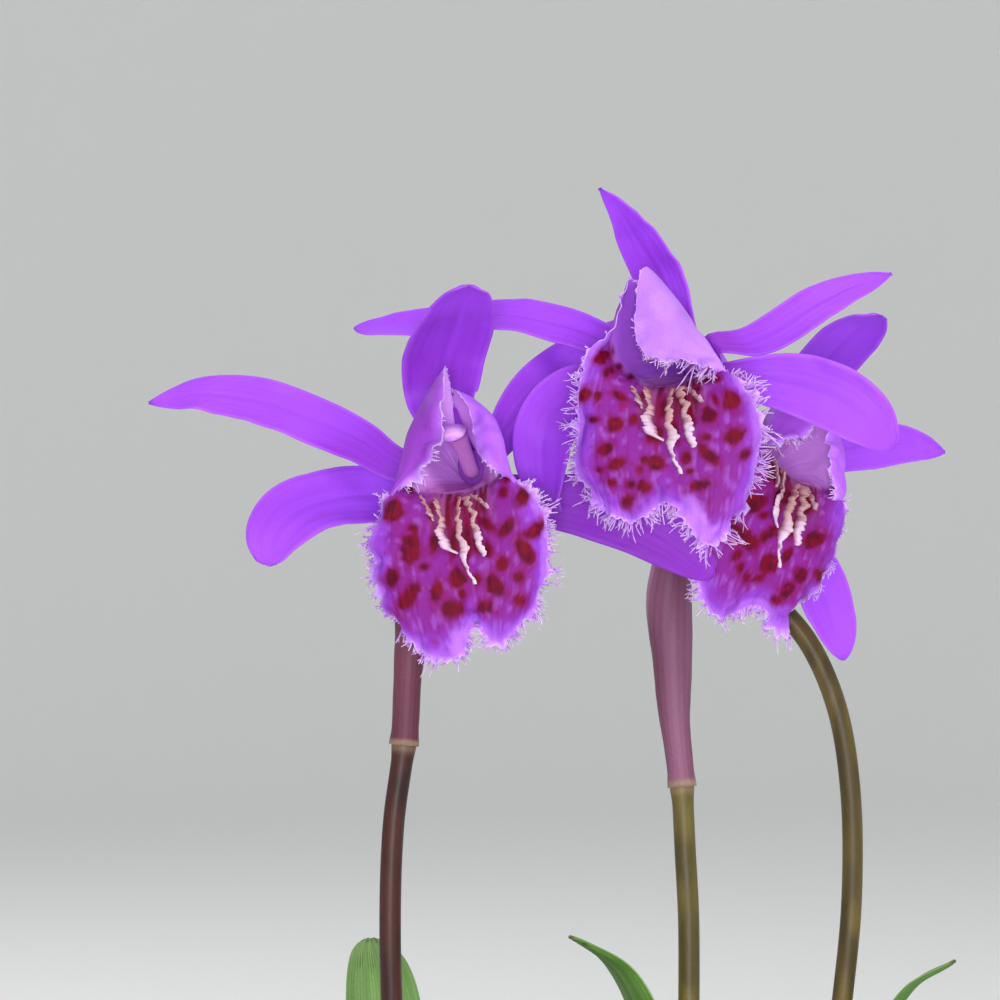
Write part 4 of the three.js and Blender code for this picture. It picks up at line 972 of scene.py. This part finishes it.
def rolled(curve, start, end, radius, half_angle, opens_at, rows, columns):
    """A sheet rolled round a curve, which opens at one side, and its places along and across."""
    t, s = np.linspace(0, 1, rows)[:, None], np.linspace(-1, 1, columns)
    angle = math.radians(opens_at) + math.pi + s * np.radians(half_angle(t))
    wide, lift = radius(t) * np.cos(angle), radius(t) * np.sin(angle)
    return about_curve(curve, lerp(start, end, t[:, 0]), wide, lift), t, s


# Tones of each bract, then the paler colour painted on its thin margins as painted light
BRACT_COLOURS = {
    "a": (srgb(112, 60, 80), srgb(88, 42, 58), srgb(150, 112, 132)),
    "b": (srgb(134, 86, 114), srgb(108, 60, 84), srgb(170, 138, 164)),
    "c": (srgb(138, 92, 120), srgb(112, 66, 90), srgb(172, 140, 166)),
}


def make_bract(plant):
    curve = scape_curve(plant)
    bract = plant["bract"]
    start = curve.share_at_height(plant["node"]) - 0.3 / curve.length

    def radius(t):
        hugging = 0.25 * bump(t * bract["length"], 1.5)
        return lerp(bract["foot"] + 0.12, bract["full"], ease(t / 0.7)) + hugging

    middle, t, s = rolled(
        curve, start, start + bract["length"] / curve.length, radius,
        lambda t: 158 * np.maximum(0.07, 1 - past(t, 0.45) ** 1.5), bract["opens"], 72, 60,
    )
    veins = np.cos(2 * math.pi * 7 * s)
    middle = raised(middle, 0.018 * veins + 0.12 * noise(middle, 3) * ease(t / 0.2))
    edge = ease((np.abs(s) - 0.8) / 0.2)
    light, dark, pale = BRACT_COLOURS[plant["name"]]
    colour = coated(
        light,
        (dark, ease(0.5 + 0.7 * noise(middle * [1, 1, 0.25], 3) + 0.12 * veins)),
        # The thin margins are painted paler, as painted light coming through them
        (pale, 0.5 * edge),
        (srgb(150, 128, 104), 0.8 * ease((0.03 - t) / 0.02)),
        (srgb(170, 110, 200), 0.35 * ease((t - 0.75) / 0.25)),
    )
    body = Body().add_sheet(middle, lerp(0.14, 0.06, edge) * (1 - 0.3 * t), colour, colour * 0.92)
    body.piece(f"{plant['name']}_bract_fine", "bract", f"{plant['name']}_bract")


def make_sheath(plant, seed):
    curve = scape_curve(plant)
    middle, t, s = rolled(
        curve, 0, (SHOOT_DEPTH + SHEATH_HEIGHT) / curve.length, lambda t: SHEATH_RADIUS - 0.25 * t * t,
        lambda t: 160 * np.maximum(0.12, 1 - past(t, 0.5) ** 1.7), plant["leaf"]["away"], 60, 80,
    )
    ribs = np.cos(2 * math.pi * 13 * s)
    ragged = ease((np.abs(s) - 0.75) / 0.25) * ease((t - 0.35) / 0.3)
    middle = raised(middle, 0.06 * ribs + 0.25 * noise(middle + seed, 1.4) * ragged)
    colour = coated(
        srgb(150, 132, 92),
        (srgb(118, 88, 66), ease(0.5 + 0.7 * noise(middle * [1, 1, 0.35], 2.4))),
        (srgb(122, 70, 74), 0.55 * ease((0.75 - t) / 0.5) * ease(0.4 + noise(middle, 5))),
        (srgb(178, 160, 118), 0.35 * ease(ribs)),
        (srgb(96, 66, 46), ease((t - 0.86) / 0.14)),
        (srgb(108, 76, 52), 0.7 * ragged),
    )
    body = Body().add_sheet(middle, 0.15, colour, colour * 0.8)
    body.piece(f"{plant['name']}_sheath_fine", "sheath", f"{plant['name']}_shoot_sheath")


# Leaves and tepals

def blade(curve, across_hint, t, s, width, cup, turn, ripple):
    """Points of a blade along a curve. Its sides curl by the cup angle and it twists by the turn."""
    tangent = curve.tangent(t)
    across = unit(across_hint - tangent * np.sum(tangent * across_hint, -1, keepdims=True))
    facing = np.cross(tangent, across)
    cosine, sine = np.cos(turn)[..., None], np.sin(turn)[..., None]
    side = across * cosine + facing * sine
    front = facing * cosine - across * sine
    radius = width / 2 / cup
    lift = radius * (1 - np.cos(s * cup)) + ripple
    return curve.at(t) + side * (radius * np.sin(s * cup))[..., None] + front * lift[..., None]


# A leaf's line: share of its reach away from the scape and share of its rise
LEAF_LINE = [
    [0, 0.001], [0, 0.1], [0, 0.2], [0, 0.3], [0, 0.4], [0.06, 0.58], [0.26, 0.78], [0.58, 0.93], [1, 1],
]
LEAF_FOOT_WIDTH = 3
LEAF_VEINS = 22


def leaf_curve(plant, outward):
    stem = scape_curve(plant)
    leaf, foot = plant["leaf"], plant["scape"][0][2]
    standoff = SCAPE_RADIUS + GAP + 0.45
    points = []
    for out, up in LEAF_LINE:
        beside = stem.at(stem.share_at_height(foot + (leaf["rise"] + SHOOT_DEPTH) * up))
        points.append(beside + outward * (standoff + leaf["reach"] * out))
    return Curve(points)


def make_leaf(plant, seed):
    leaf = plant["leaf"]
    outward = round_points(1, math.radians(leaf["away"]), 0)
    t, s = places(76, 1.25)[:, None], np.linspace(-1, 1, 72)
    opened, pleated = ease((t - 0.4) / 0.3), ease((t - 0.45) / 0.25)
    width = lerp(LEAF_FOOT_WIDTH, LEAF_WIDTH * leaf["width"], opened) * np.sqrt(1 - past(t, 0.72) ** 2)
    folds, veins = np.cos(4 * math.pi * s), np.cos(math.pi * LEAF_VEINS * s)
    ripple = 0.7 * pleated * (1 - t) * folds + 0.05 * pleated * veins
    middle = blade(
        leaf_curve(plant, outward), np.cross([0, 0, 1], outward), t, s,
        np.maximum(TIP_WIDTH, width), lerp(0.75, 0.3, opened), 0 * t, ripple,
    )
    middle = raised(middle, 0.15 * noise(middle + seed, 4))
    green = coated(
        srgb(96, 142, 60),
        (srgb(66, 112, 44), ease(0.55 + 0.5 * noise(middle, 5) + 0.15 * folds)),
        (srgb(150, 182, 104), 0.4 * ease(veins * 2 - 1.1)),
        (srgb(172, 186, 128), ease((0.45 - t) / 0.35)),
        (srgb(120, 90, 60), 0.6 * ease((t - 0.985) / 0.015)),
    )
    half = lerp(0.22, 0.09, ease((np.abs(s) - 0.85) / 0.15))
    body = Body().add_sheet(middle, half, green, mix(green, srgb(130, 160, 100), 0.4))
    body.piece(f"{plant['name']}_leaf_fine", "leaf", f"{plant['name']}_leaf")


TEPAL_LIGHT = srgb(158, 70, 232)
TEPAL_DEEP = srgb(140, 46, 196)
TEPAL_RIM = srgb(184, 108, 240)

# How much deeper the blades in the shade of a bloom are
TEPAL_SHADE = {
    "a_lateral_sepal_right": 0.85, "b_lateral_sepal_left": 0.4, "a_petal_right": 0.3, "a_dorsal_sepal": 0.2,
}


def tepal_width(shape, t):
    full, widest, tip = shape["width"], shape["widest"], shape["tip"]
    rising = lerp(CLAW_WIDTH, full, np.sin(math.pi / 2 * np.minimum(1, t / widest)) ** 0.85)
    falling = full * np.maximum(0, 1 - past(t, widest) ** (tip + 0.5)) ** (1 / tip)
    return np.maximum(TIP_WIDTH * 0.6, np.where(t < widest, rising, falling))


def make_tepal(plant, name, shape, seed):
    angle = math.radians(RING_ANGLES[name])
    radial = np.array([math.cos(angle), 0, math.sin(angle)])
    neck = PETAL_NECK if name.startswith("petal") else SEPAL_NECK
    foot = [TEPAL_RING * radial + [0, TEPAL_START, 0], (TEPAL_RING + 0.9) * radial + [0, neck, 0]]
    t, s = places(64, 1.6)[:, None], np.linspace(-1, 1, 40)
    width = tepal_width(shape, t)
    midvein = 0.12 * bump(s, 0.09) * ease((1 - t) / 0.3)
    middle = blade(
        Curve(bloom_points([*foot, *shape["path"]])), np.cross(bloom_points([0, 1, 0]), radial), t, s,
        width, shape["cup"] * (1 - 0.35 * t), math.radians(shape["turn"]) * ease((t - 0.12) / 0.5),
        (np.cos(math.pi * 9 * s) * 0.012 - midvein) * ease(t / 0.2),
    )
    local = middle + 11 * seed
    wave = 0.35 * noise(local, 5) + 0.3 * noise(local, 2.4) * ease((np.abs(s) - 0.5) / 0.5)
    calm = ease((t - 0.15) / 0.3) * ease(width / 4)
    middle = to_pot(raised(middle, wave * calm), plant)
    lines = 0.14 * streaks(s * 14, t * 3, seed) + 0.1 * streaks(s * 34, t * 5, seed)
    edge = ease((np.abs(s) - 0.86) / 0.14)
    label = f"{plant['name']}_{name}"
    colour = coated(
        TEPAL_LIGHT,
        (TEPAL_DEEP, ease(0.7 - 0.75 * t + lines + 0.4 * noise(local, 8))),
        (srgb(122, 34, 176), 0.3 * bump(s, 0.06) * ease((0.95 - t) / 0.4)),
        (TEPAL_RIM, 0.4 * edge),
        (srgb(136, 44, 170), 0.7 * ease((0.24 - t) / 0.24)),
        (srgb(128, 30, 172), TEPAL_SHADE.get(label, 0)),
    )
    back = mix(colour, srgb(176, 104, 238), 0.3)
    half = lerp(0.22, 0.07, edge) * lerp(1.5, 1, ease(t / 0.15)) * lerp(0.35, 1, ease(width / 3))
    Body().add_sheet(middle, half, back, colour).piece(f"{label}_fine", "tepal", label)


# Lip

def clamped_basis(count, t):
    """Weights of a cubic spline's control points at places t."""
    knots = np.concatenate([[0] * 4, np.arange(1, count - 3) / (count - 3), [1] * 4])
    t = np.clip(t, 0, 1 - 1e-9)
    weights = ((t[:, None] >= knots[None, :-1]) & (t[:, None] < knots[None, 1:])).astype(float)
    for degree in range(1, 4):
        spans = weights.shape[1] - 1
        finer = np.zeros((len(t), spans))
        for i in range(spans):
            left = knots[i + degree] - knots[i]
            right = knots[i + degree + 1] - knots[i + 1]
            if left > 0:
                finer[:, i] += (t - knots[i]) / left * weights[:, i]
            if right > 0:
                finer[:, i] += (knots[i + degree + 1] - t) / right * weights[:, i + 1]
        weights = finer
    return weights[:, :count]


def lip_lean(lip, forward):
    return lip["lean"] * ease(forward / LIP_THROAT_FORWARD)


def lip_controls(lip):
    """A lip's control points: the shared half mirrored, with its own lobes, width, lean, swing and apex."""
    left_edge, right_edge = (
        [LIP_LOBE_FOOT, *LIP_LOBES[lip[side]], *LIP_BLADE_EDGE] for side in ("left", "right")
    )
    rows = []
    for row, inner in enumerate(LIP_BODY):
        left_half, right_half = (inner[1:] + left_edge[row])[::-1], inner + right_edge[row]
        signs = [-1] * len(left_half) + [1] * len(right_half)
        reach = ease((row - 3) / 3)
        near_apex = ease((row - 6.5) / 2.5)
        angle = math.radians(lip["swing"]) * reach
        placed_row = []
        for (outward, forward, up), sign, (shift, lift) in zip(left_half + right_half, signs, lip["apex"]):
            x = sign * outward * lerp(1, lip["width"], reach) + shift * near_apex
            fall = lerp(1, lip["drop"], reach) if up < 0 else 1
            z = up * fall + lift * near_apex - LIP_THROAT
            across = x * math.cos(angle) - z * math.sin(angle) + lip_lean(lip, forward)
            placed_row.append([across, -forward, x * math.sin(angle) + z * math.cos(angle) + LIP_THROAT])
        rows.append(placed_row)
    return np.array(rows, float)


def lip_points(lip, v, u):
    """Points at the places v from base to apex and u from left to right."""
    controls = lip_controls(lip)
    down, across = (clamped_basis(count, place) for count, place in zip(controls.shape, (v, u)))
    return np.einsum("vr,uc,rcx->vux", down, across, controls)


def spot_weights(points, spots, blur=1, growth=1):
    """Core and halo of the blotches over points, as seen from the camera."""
    across, down = photo_pixel(points)
    jitter = 1 + 0.26 * noise(points, 0.7) + 0.18 * noise(points, 1.7)
    core, halo = np.zeros((2, *points.shape[:-1]))
    for x, y, long, short, slope in spots:
        c, s = math.cos(math.radians(slope)), math.sin(math.radians(slope))
        right, up = (across - x) / CAMERA_SCALE, (y - down) / CAMERA_SCALE
        away = np.hypot((right * c + up * s) / long, (up * c - right * s) / short) * jitter / growth
        soft = 0.45 * blur / short
        core = np.maximum(core, 1 - ease((away - 1 + 0.4 * soft) / soft))
        halo = np.maximum(halo, 0.9 - ease((away - 0.9) / (1.3 * soft + 0.8)))
    return core, halo


LIP_INNER = srgb(126, 34, 138)
LIP_BLADE = srgb(136, 58, 188)
# The throat's mauve, painted lighter as painted light inside the shaded tube
LIP_THROAT_PAINTED_LIGHT = srgb(206, 128, 206)
LIP_PALE = srgb(186, 122, 236)
# Outer colour of each hood; b's is painted paler as painted light on its lit hood
LIP_HOOD = {"a": srgb(172, 96, 238), "b": srgb(192, 132, 240), "c": srgb(170, 94, 232)}
# Painted shade for the left lobe's outer face, which turns from the light
LIP_HOOD_PAINTED_SHADE = srgb(142, 60, 184)
BLOTCH = srgb(108, 0, 32)
BLOTCH_HALO = srgb(122, 8, 84)
BLOTCH_GROWTH = {"a": 1, "b": 0.86, "c": 1}

# Dark lanes between the keels: place across the lip, start and end along it
LIP_LANES = [(-0.08, 0.56, 0.82), (0.09, 0.56, 0.84), (0.23, 0.56, 0.74), (-0.27, 0.56, 0.7)]


def lip_colours(plant, middle, v, u, edge_distance):
    """Inner and outer colours over a lip's grid."""
    name = plant["name"]
    veins = streaks(u * 60, v * 6)
    patch = noise(middle, 3.2)
    outside = ease((3.6 + 1.6 * patch - edge_distance) / 2.6)
    lobe_side = ease((0.36 - u) / 0.1) * (name == "b")
    throat = 1 - ease((v - 0.44 + 0.12 * lobe_side) / 0.1)
    # Inside of the hood painted pale as painted light, and on b's left side deeper as painted shade
    hood_inside_painted_light_and_shade = mix(srgb(226, 162, 248), srgb(176, 96, 226), lobe_side)
    middle_band = 1 - ease((np.abs(u - 0.52) - 0.13 - 0.04 * veins) / 0.09)
    brown = middle_band * ease((v - 0.45) / 0.06) * (1 - ease((v - 0.66) / 0.12))
    inner = coated(
        LIP_INNER,
        (LIP_BLADE, outside),
        (srgb(126, 26, 128), 0.6 * ease(0.2 + 0.6 * patch + 0.5 * veins) * (1 - outside)),
        (srgb(158, 92, 206), 0.45 * ease(1.8 * noise(middle + 11, 0.9) + 1.1 * veins - 0.4)),
        # Painted light over the throat
        (mix(LIP_THROAT_PAINTED_LIGHT, srgb(180, 96, 170), ease(0.3 + veins)), throat),
        (hood_inside_painted_light_and_shade, throat * ease((np.abs(u - 0.5) - 0.16) / 0.12)),
        (srgb(144, 70, 128), 0.85 * brown),
        (srgb(92, 14, 40), 0.95 * ease(2.8 * streaks(u * 58, v * 8)) * brown),
    )
    for lane, start, end in LIP_LANES:
        within = bump((u - 0.5) * 2 - lane, 0.045) * ease((v - start) / 0.03) * ease((end - v) / 0.03)
        inner = mix(inner, srgb(104, 4, 34), 0.95 * within)
    rim = 1 - ease((edge_distance - 0.1 - 0.5 * patch) / 1.1)
    flap, _ = spot_weights(middle, LIP_FLAPS[name], 2.5)
    core, halo = spot_weights(middle, LIP_SPOTS[name], growth=BLOTCH_GROWTH[name])
    seen = ease((v - lerp(0.42, 0.33, lobe_side)) / 0.05)
    deep = ease(0.4 + 1.4 * noise(middle + 5, 0.8) + 0.5 * veins)
    freckles = ease(3 * noise(middle + 30, 0.8) - 1.7) * ease((edge_distance - 0.8) / 1.5)
    inner = coated(
        inner,
        (LIP_PALE, 0.45 * rim * (1 - throat * 0.6)),
        (srgb(186, 118, 232), 0.85 * flap * (v > 0.6)),
        (BLOTCH_HALO, 0.8 * halo * seen),
        (mix(BLOTCH, srgb(74, 0, 34), 0.75 * deep), core * seen),
        (srgb(130, 8, 70), 0.75 * freckles * seen),
    )
    outer = coated(
        LIP_HOOD[name],
        # Painted shade over the left lobe's outer face, with some mottling and veins all over
        (LIP_HOOD_PAINTED_SHADE, np.clip(ease((0.5 - u) / 0.1) + 0.25 * patch + 0.2 * veins, 0, 1)),
        (LIP_PALE, 0.4 * rim),
        (srgb(140, 50, 180), 0.35 * core * seen),
    )
    return inner, outer


class Margin:
    """The torn margin of a lip, from one side of its base round the apex to the other."""

    def __init__(self, points, normals):
        self.points, self.normals = points, normals
        self.tangents = unit(np.gradient(points, axis=0))
        self.outward = unit(np.cross(normals, self.tangents))
        self.lengths = lengths_along(points)
        self.total = self.lengths[-1]

    def tear(self, rows, random):
        """Places the teeth, which are small on the side lobes, and finds how high the margin stands."""
        last_lobe = int(0.48 * rows)
        self.blade_start = (self.lengths[last_lobe] + self.total - self.lengths[-1 - last_lobe]) / 2
        centres, heights, widths = [], [], []
        at = FRINGE_START
        while at < self.total - FRINGE_START:
            step = random.uniform(0.6, 1.5)
            reach = lerp(0.3, 1, ease((self.depth(at) - self.blade_start) / 6))
            centres.append(at)
            heights.append(reach * random.uniform(0.4, 1.9))
            widths.append(step * 0.7)
            at += step
        self.teeth = list(zip(centres, heights))
        beside = np.clip(1 - np.abs(self.lengths[:, None] - centres) / widths, 0, 1)
        return np.max(heights * beside ** 0.8, axis=1)

    def depth(self, at):
        """How far a place is from the nearer end of the margin."""
        return min(at, self.total - at)


def torn_strip(margin, tall, outer, inner):
    """Points, offsets and outer and inner colours of the strip that stands off a margin."""
    share = np.arange(1, STRIP_ROWS + 1)[:, None] / STRIP_ROWS
    reach = tall + 0.12 * noise(margin.points, 0.5) * ease(tall * 4)
    curl = 0.35 * noise(margin.points, 1.2) * tall
    points = margin.points + margin.outward * (reach * share)[..., None]
    points = points + margin.normals * (curl * share ** 2)[..., None]
    offset = margin.normals * (0.075 * (1 - 0.5 * share))[..., None]
    pale = mix(LIP_PALE, srgb(214, 176, 255), share)
    outer, inner = (mix(pale, colour, 0.7 * (1 - share)) for colour in (outer, inner))
    return [grid.reshape(-1, 3) for grid in (points, offset, outer, inner)]


def make_lip(plant, seed):
    random = np.random.default_rng(200 + seed)
    rows, columns = 132, 146
    v, u = np.linspace(0, 1, rows)[:, None], np.linspace(0, 1, columns)
    middle = to_pot(lip_points(plant["lip"], v[:, 0], u), plant)
    from_left, from_base = lengths_along(middle, 1), lengths_along(middle)
    edge_distance = np.minimum(from_left, from_left[:, -1:] - from_left)
    edge_distance = np.minimum(edge_distance, from_base[-1:] - from_base)
    inner, outer = lip_colours(plant, middle, v, u, edge_distance)
    free = ease((v - 0.2) / 0.15)
    ruffle = 1.15 * noise(middle, 1.9) * (bump(edge_distance, 2.6) * free) + 0.25 * noise(middle, 4) * free
    middle = raised(middle, ruffle + 0.06 * streaks(u * 60, v * 6))
    normals = grid_normals(middle)
    half = 0.17 * (1 - 0.55 * bump(edge_distance, 1.2))

    middle, normals, inner, outer = (grid.reshape(-1, 3) for grid in (middle, normals, inner, outer))
    loop, base = np.split(border(rows, columns), [2 * rows + columns - 2])
    margin = Margin(middle[loop], normals[loop])
    strip = torn_strip(margin, margin.tear(rows, random), outer[loop], inner[loop])
    blade_parts = middle, normals * half.reshape(-1, 1), outer, inner
    middle, offset, front, back = (np.concatenate(pair) for pair in zip(blade_parts, strip))

    # Faces of the blade and of the strip, with one rim round both
    ids = rows * columns + np.arange(STRIP_ROWS * len(loop)).reshape(STRIP_ROWS, -1)
    ids = np.concatenate([loop[None], ids])
    skirt = np.stack([ids[:-1, 1:], ids[1:, 1:], ids[1:, :-1], ids[:-1, :-1]], -1).reshape(-1, 4)
    rim = np.concatenate([ids[-1], ids[:-1, -1][::-1], base, ids[:-1, 0]])
    faces = np.concatenate([grid_faces(rows, columns), skirt])
    body = Body().add_skin(middle, offset, faces, rim, front, back)
    body.piece(f"{plant['name']}_lip_fine", "lip", f"{plant['name']}_lip")
    make_fringe(plant, margin, random)
    make_keels(plant)


FRINGE_SCALE = {"a": 0.8, "b": 1.1, "c": 0.8}


def hair_rings(paths, radii):
    """Four-sided tubes along many paths at once."""
    tangents = unit(np.gradient(paths, axis=1))
    first = unit(np.cross(tangents, [0.31, 0.52, 0.79]))
    second = np.cross(tangents, first)
    angle = circle(4)[:, None]
    spin = first[:, :, None] * np.cos(angle) + second[:, :, None] * np.sin(angle)
    return paths[:, :, None] + spin * radii[:, None, None]


def fringe_hairs(plant, margin, random):
    """Roots, directions and lengths of the hairs on the teeth of a margin."""
    roots, ways, sizes = [], [], []
    for centre, height in margin.teeth:
        past_lobe = margin.depth(centre) - margin.blade_start
        longer = lerp(0.25, 1, ease((past_lobe - 1) / 6))
        longer *= 1.4 if plant["name"] == "b" and centre > margin.total / 2 and past_lobe > 2 else 1
        for _ in range(random.integers(0, 2) if past_lobe < 1 else random.integers(4, 8)):
            at = centre + random.normal(0, 0.35)
            k = min(len(margin.points) - 1, int(np.searchsorted(margin.lengths, at)))
            outward, tangent, normal = margin.outward[k], margin.tangents[k], margin.normals[k]
            roots.append(margin.points[k] + outward * height * random.uniform(0.2, 0.85))
            way = outward + tangent * random.normal(0, 0.35) + normal * random.normal(0, 0.3)
            ways.append(unit(way))
            spread = random.choice([1, 1, 1.5]) * random.uniform(0.6, 1.7)
            sizes.append(FRINGE_SCALE[plant["name"]] * longer * spread)
    return np.array(roots), np.array(ways), np.array(sizes)


def make_fringe(plant, margin, random):
    """Forked, curling hairs along the torn margin."""
    body = Body()
    share = np.linspace(0, 1, 7)[:, None]
    colour = mix(srgb(168, 92, 214), srgb(226, 188, 244), share ** 0.8)
    roots, ways, sizes = fringe_hairs(plant, margin, random)
    bends = unit(random.normal(size=ways.shape)) * 0.45
    turns = unit(random.normal(size=ways.shape)) * 0.35

    def grow(roots, ways, sizes, bends, turns, thick):
        path = roots[:, None] + sizes[:, None, None] * (
            ways[:, None] * share + bends[:, None] * share ** 2 / 2 + turns[:, None] * share ** 3 / 2
        )
        shades = 1 + 0.12 * random.normal(size=len(roots))
        for rings, shade in zip(hair_rings(path, thick * (1 - 0.6 * share[:, 0])), shades):
            body.add_tube(rings, colour * shade)
        return path

    stems = grow(roots, ways, sizes, bends, turns, 0.13)
    forked = random.random(len(roots)) < 0.5
    middle = stems[forked][:, 3]
    ways = unit(ways[forked] + bends[forked] * 0.5 + unit(random.normal(size=middle.shape)) * 0.75)
    grow(middle, ways, sizes[forked] * 0.55, -bends[forked], turns[forked], 0.095)
    body.piece(f"{plant['name']}_lip_fringe", "fringe")


def make_keels(plant):
    """Erose crests that run down the lip and fold over to one side."""
    body = Body()
    rows, columns = 100, 7
    share, rise = np.linspace(0, 1, rows)[:, None], np.linspace(0, 1, columns)
    step = 0.004
    row = np.arange(rows)
    for index, crest in enumerate(KEELS):

        def rough(scale, shift=0):
            return streaks((share * 17 + 3 * index) * scale + shift, index * scale + shift, shift)

        def run(steps):
            """How far the crest gets from its foot."""
            return np.cumsum(np.insert(steps[:, 1:], 0, 0, axis=1), axis=1) / (columns - 1)

        across = crest["across"]
        v = lerp(crest["start"], crest["end"], share)[:, 0]
        wander = 0.01 * rough(0.9, 2) + 0.005 * rough(2.6)
        u = (0.5 + np.interp(share, np.linspace(0, 1, len(across)), across) / 2 + wander)[:, 0]
        around = lip_points(plant["lip"], np.concatenate([v, v + step]), np.concatenate([u, u + step]))
        line = around[row, row]
        side = unit(around[row, rows + row] - line)
        up = -unit(np.cross(side, unit(around[rows + row, row] - line)))
        ends = np.minimum(1, np.minimum(7 * share + 0.15, 5 * (1 - share) + 0.3))
        ragged = 0.9 + 0.55 * rough(0.55, 9) + 0.16 * rough(3)
        ragged = np.maximum(0.3, ragged) * (1 + 0.05 * rough(8))
        flare = 0.8 + 0.4 * ease((share - 0.55) / 0.25)
        tall = crest["height"] * KEEL_SCALE[plant["name"]] * ends * ragged * flare
        fold = crest["fold"] * (1.3 + 0.5 * ease((share - 0.4) / 0.3)) + 0.6 * rough(0.5)
        lean = fold * rise ** 1.2
        height = tall * run(np.cos(lean)) - 0.1 + 0.2 * (rise > 0)
        drift = tall * run(np.sin(lean)) + 0.16 * rough(1.1, 5) * rise
        middle = line[:, None] + up[:, None] * height[..., None] + side[:, None] * drift[..., None]
        pale = mix(srgb(188, 148, 146), srgb(220, 192, 220), ease((share - 0.45) / 0.4))
        cream = coated(
            srgb(150, 92, 112),
            (pale, ease(rise * 1.6)),
            (srgb(164, 98, 122), 0.8 * np.maximum(ease((0.4 - share) / 0.4), 1 - crest["cream"])),
            (srgb(126, 30, 58), 0.75 * ease(2.4 * rough(1.3) - 0.2) * (1 - rise) ** 0.4),
        )
        body.add_sheet(to_pot(middle, plant), lerp(0.22, 0.08, rise), cream, cream)
    body.piece(f"{plant['name']}_lip_keels", "keel")


def make_column(plant):
    curve = Curve([
        bloom_points([lip_lean(plant["lip"], forward), forward, up]) for forward, up in COLUMN_LINE
    ])
    share = np.linspace(0, 1, 90)
    t, angle = share[:, None], circle(40)
    sizes = np.array([COLUMN_HALF_WIDTHS, COLUMN_HALF_HEIGHTS])
    wide, tall = (np.interp(t, np.linspace(0, 1, len(half)), half) for half in sizes)
    close = np.sqrt(np.clip((1 - t) / 0.06, 0.02, 1))
    winged = ease((t - 0.55) / 0.25)
    lift = np.sin(angle) * tall * close * (1 - 0.35 * winged * np.abs(np.cos(angle)) ** 3)
    groove = 0.25 * winged * bump(np.cos(angle), 0.35) * (np.sin(angle) < 0) * close
    rings = to_pot(about_curve(curve, share, np.cos(angle) * wide * close, lift + groove), plant)
    under = ease(0.3 - np.sin(angle))
    pink = coated(
        srgb(196, 130, 232),
        # The underside is painted pale as painted light against the shade of the tube
        (srgb(222, 150, 226), under),
        (srgb(158, 30, 140), under * ease((t - 0.62) / 0.12)),
        (srgb(222, 170, 226), 0.85 * ease((t - 0.88) / 0.04) * (1 - ease((t - 0.965) / 0.02))),
    )
    Body().add_tube(rings, pink).piece(f"{plant['name']}_column_fine", "column", f"{plant['name']}_column")


make_pot()
make_mix()
for seed, plant in enumerate(PLANTS):
    make_bulb(plant, seed)
    make_sheath(plant, seed)
    make_leaf(plant, seed)
    make_scape(plant)
    make_bract(plant)
    for offset, (name, shape) in enumerate(plant["tepals"].items()):
        make_tepal(plant, name, shape, 5 * seed + offset)
    make_lip(plant, seed)
    make_column(plant)


# Floor, light and camera, in metres

FLOOR_RADIUS = 2.0
FLOOR_BEND = 1.2
FLOOR_WALL = 2.6
LIT_MIDDLE = (0, 0, 0.17)


def make_floor():
    """A round pale floor that turns up into a low wall far off."""
    profile = [(0.001, 0), (FLOOR_RADIUS, 0)]
    for a in np.linspace(0, math.pi / 2, 17)[1:]:
        profile.append((FLOOR_RADIUS + FLOOR_BEND * math.sin(a), FLOOR_BEND * (1 - math.cos(a))))
    profile.append((FLOOR_RADIUS + FLOOR_BEND, FLOOR_WALL))
    rings = np.array([round_points(radius, circle(96), height) for radius, height in profile])
    faces = grid_faces(*rings.shape[:2], wrap=True)[:, ::-1]
    floor = placed("floor", new_mesh("floor", rings.reshape(-1, 3), faces.tolist()))
    material = new_material("pale_floor")
    shader = material.node_tree.nodes["Principled BSDF"]
    set_inputs(shader, {"Base Color": (0.88, 0.885, 0.88, 1), "Roughness": 0.9})
    floor.data.materials.append(material)


def add_light(name, at, size, power):
    """A round lamp that faces the blooms."""
    light = bpy.data.lights.new(name, "AREA")
    light.shape = "DISK"
    light.size = size
    light.energy = power
    made = placed(name, light)
    made.location = at
    made.rotation_mode = "QUATERNION"
    made.rotation_quaternion = Vector(np.subtract(LIT_MIDDLE, at)).to_track_quat("-Z", "Y")


make_floor()
add_light("key", (0.6, -0.75, 0.95), 0.6, 6.5)
add_light("fill", (-0.05, -1.2, 0.14), 0.35, 9)
add_light("back", (-0.4, 0.9, 1.0), 0.8, 4)

scene = bpy.context.scene
scene.world = bpy.data.worlds.new("pale")
scene.world.use_nodes = True
set_inputs(scene.world.node_tree.nodes["Background"], {"Color": (0.98, 0.99, 1, 1), "Strength": 0.58})
scene.view_settings.view_transform = "Standard"

lens = bpy.data.cameras.new("camera")
lens.sensor_width = SENSOR
lens.lens = SENSOR * CAMERA_DISTANCE * CAMERA_SCALE / PHOTO_SIZE
lens.clip_start = 0.01
lens.clip_end = 20
camera = placed("camera", lens)
camera.location = (CAMERA_X * MM, -CAMERA_DISTANCE * MM, CAMERA_Z * MM)
camera.rotation_euler = (math.pi / 2, 0, 0)
scene.camera = camera
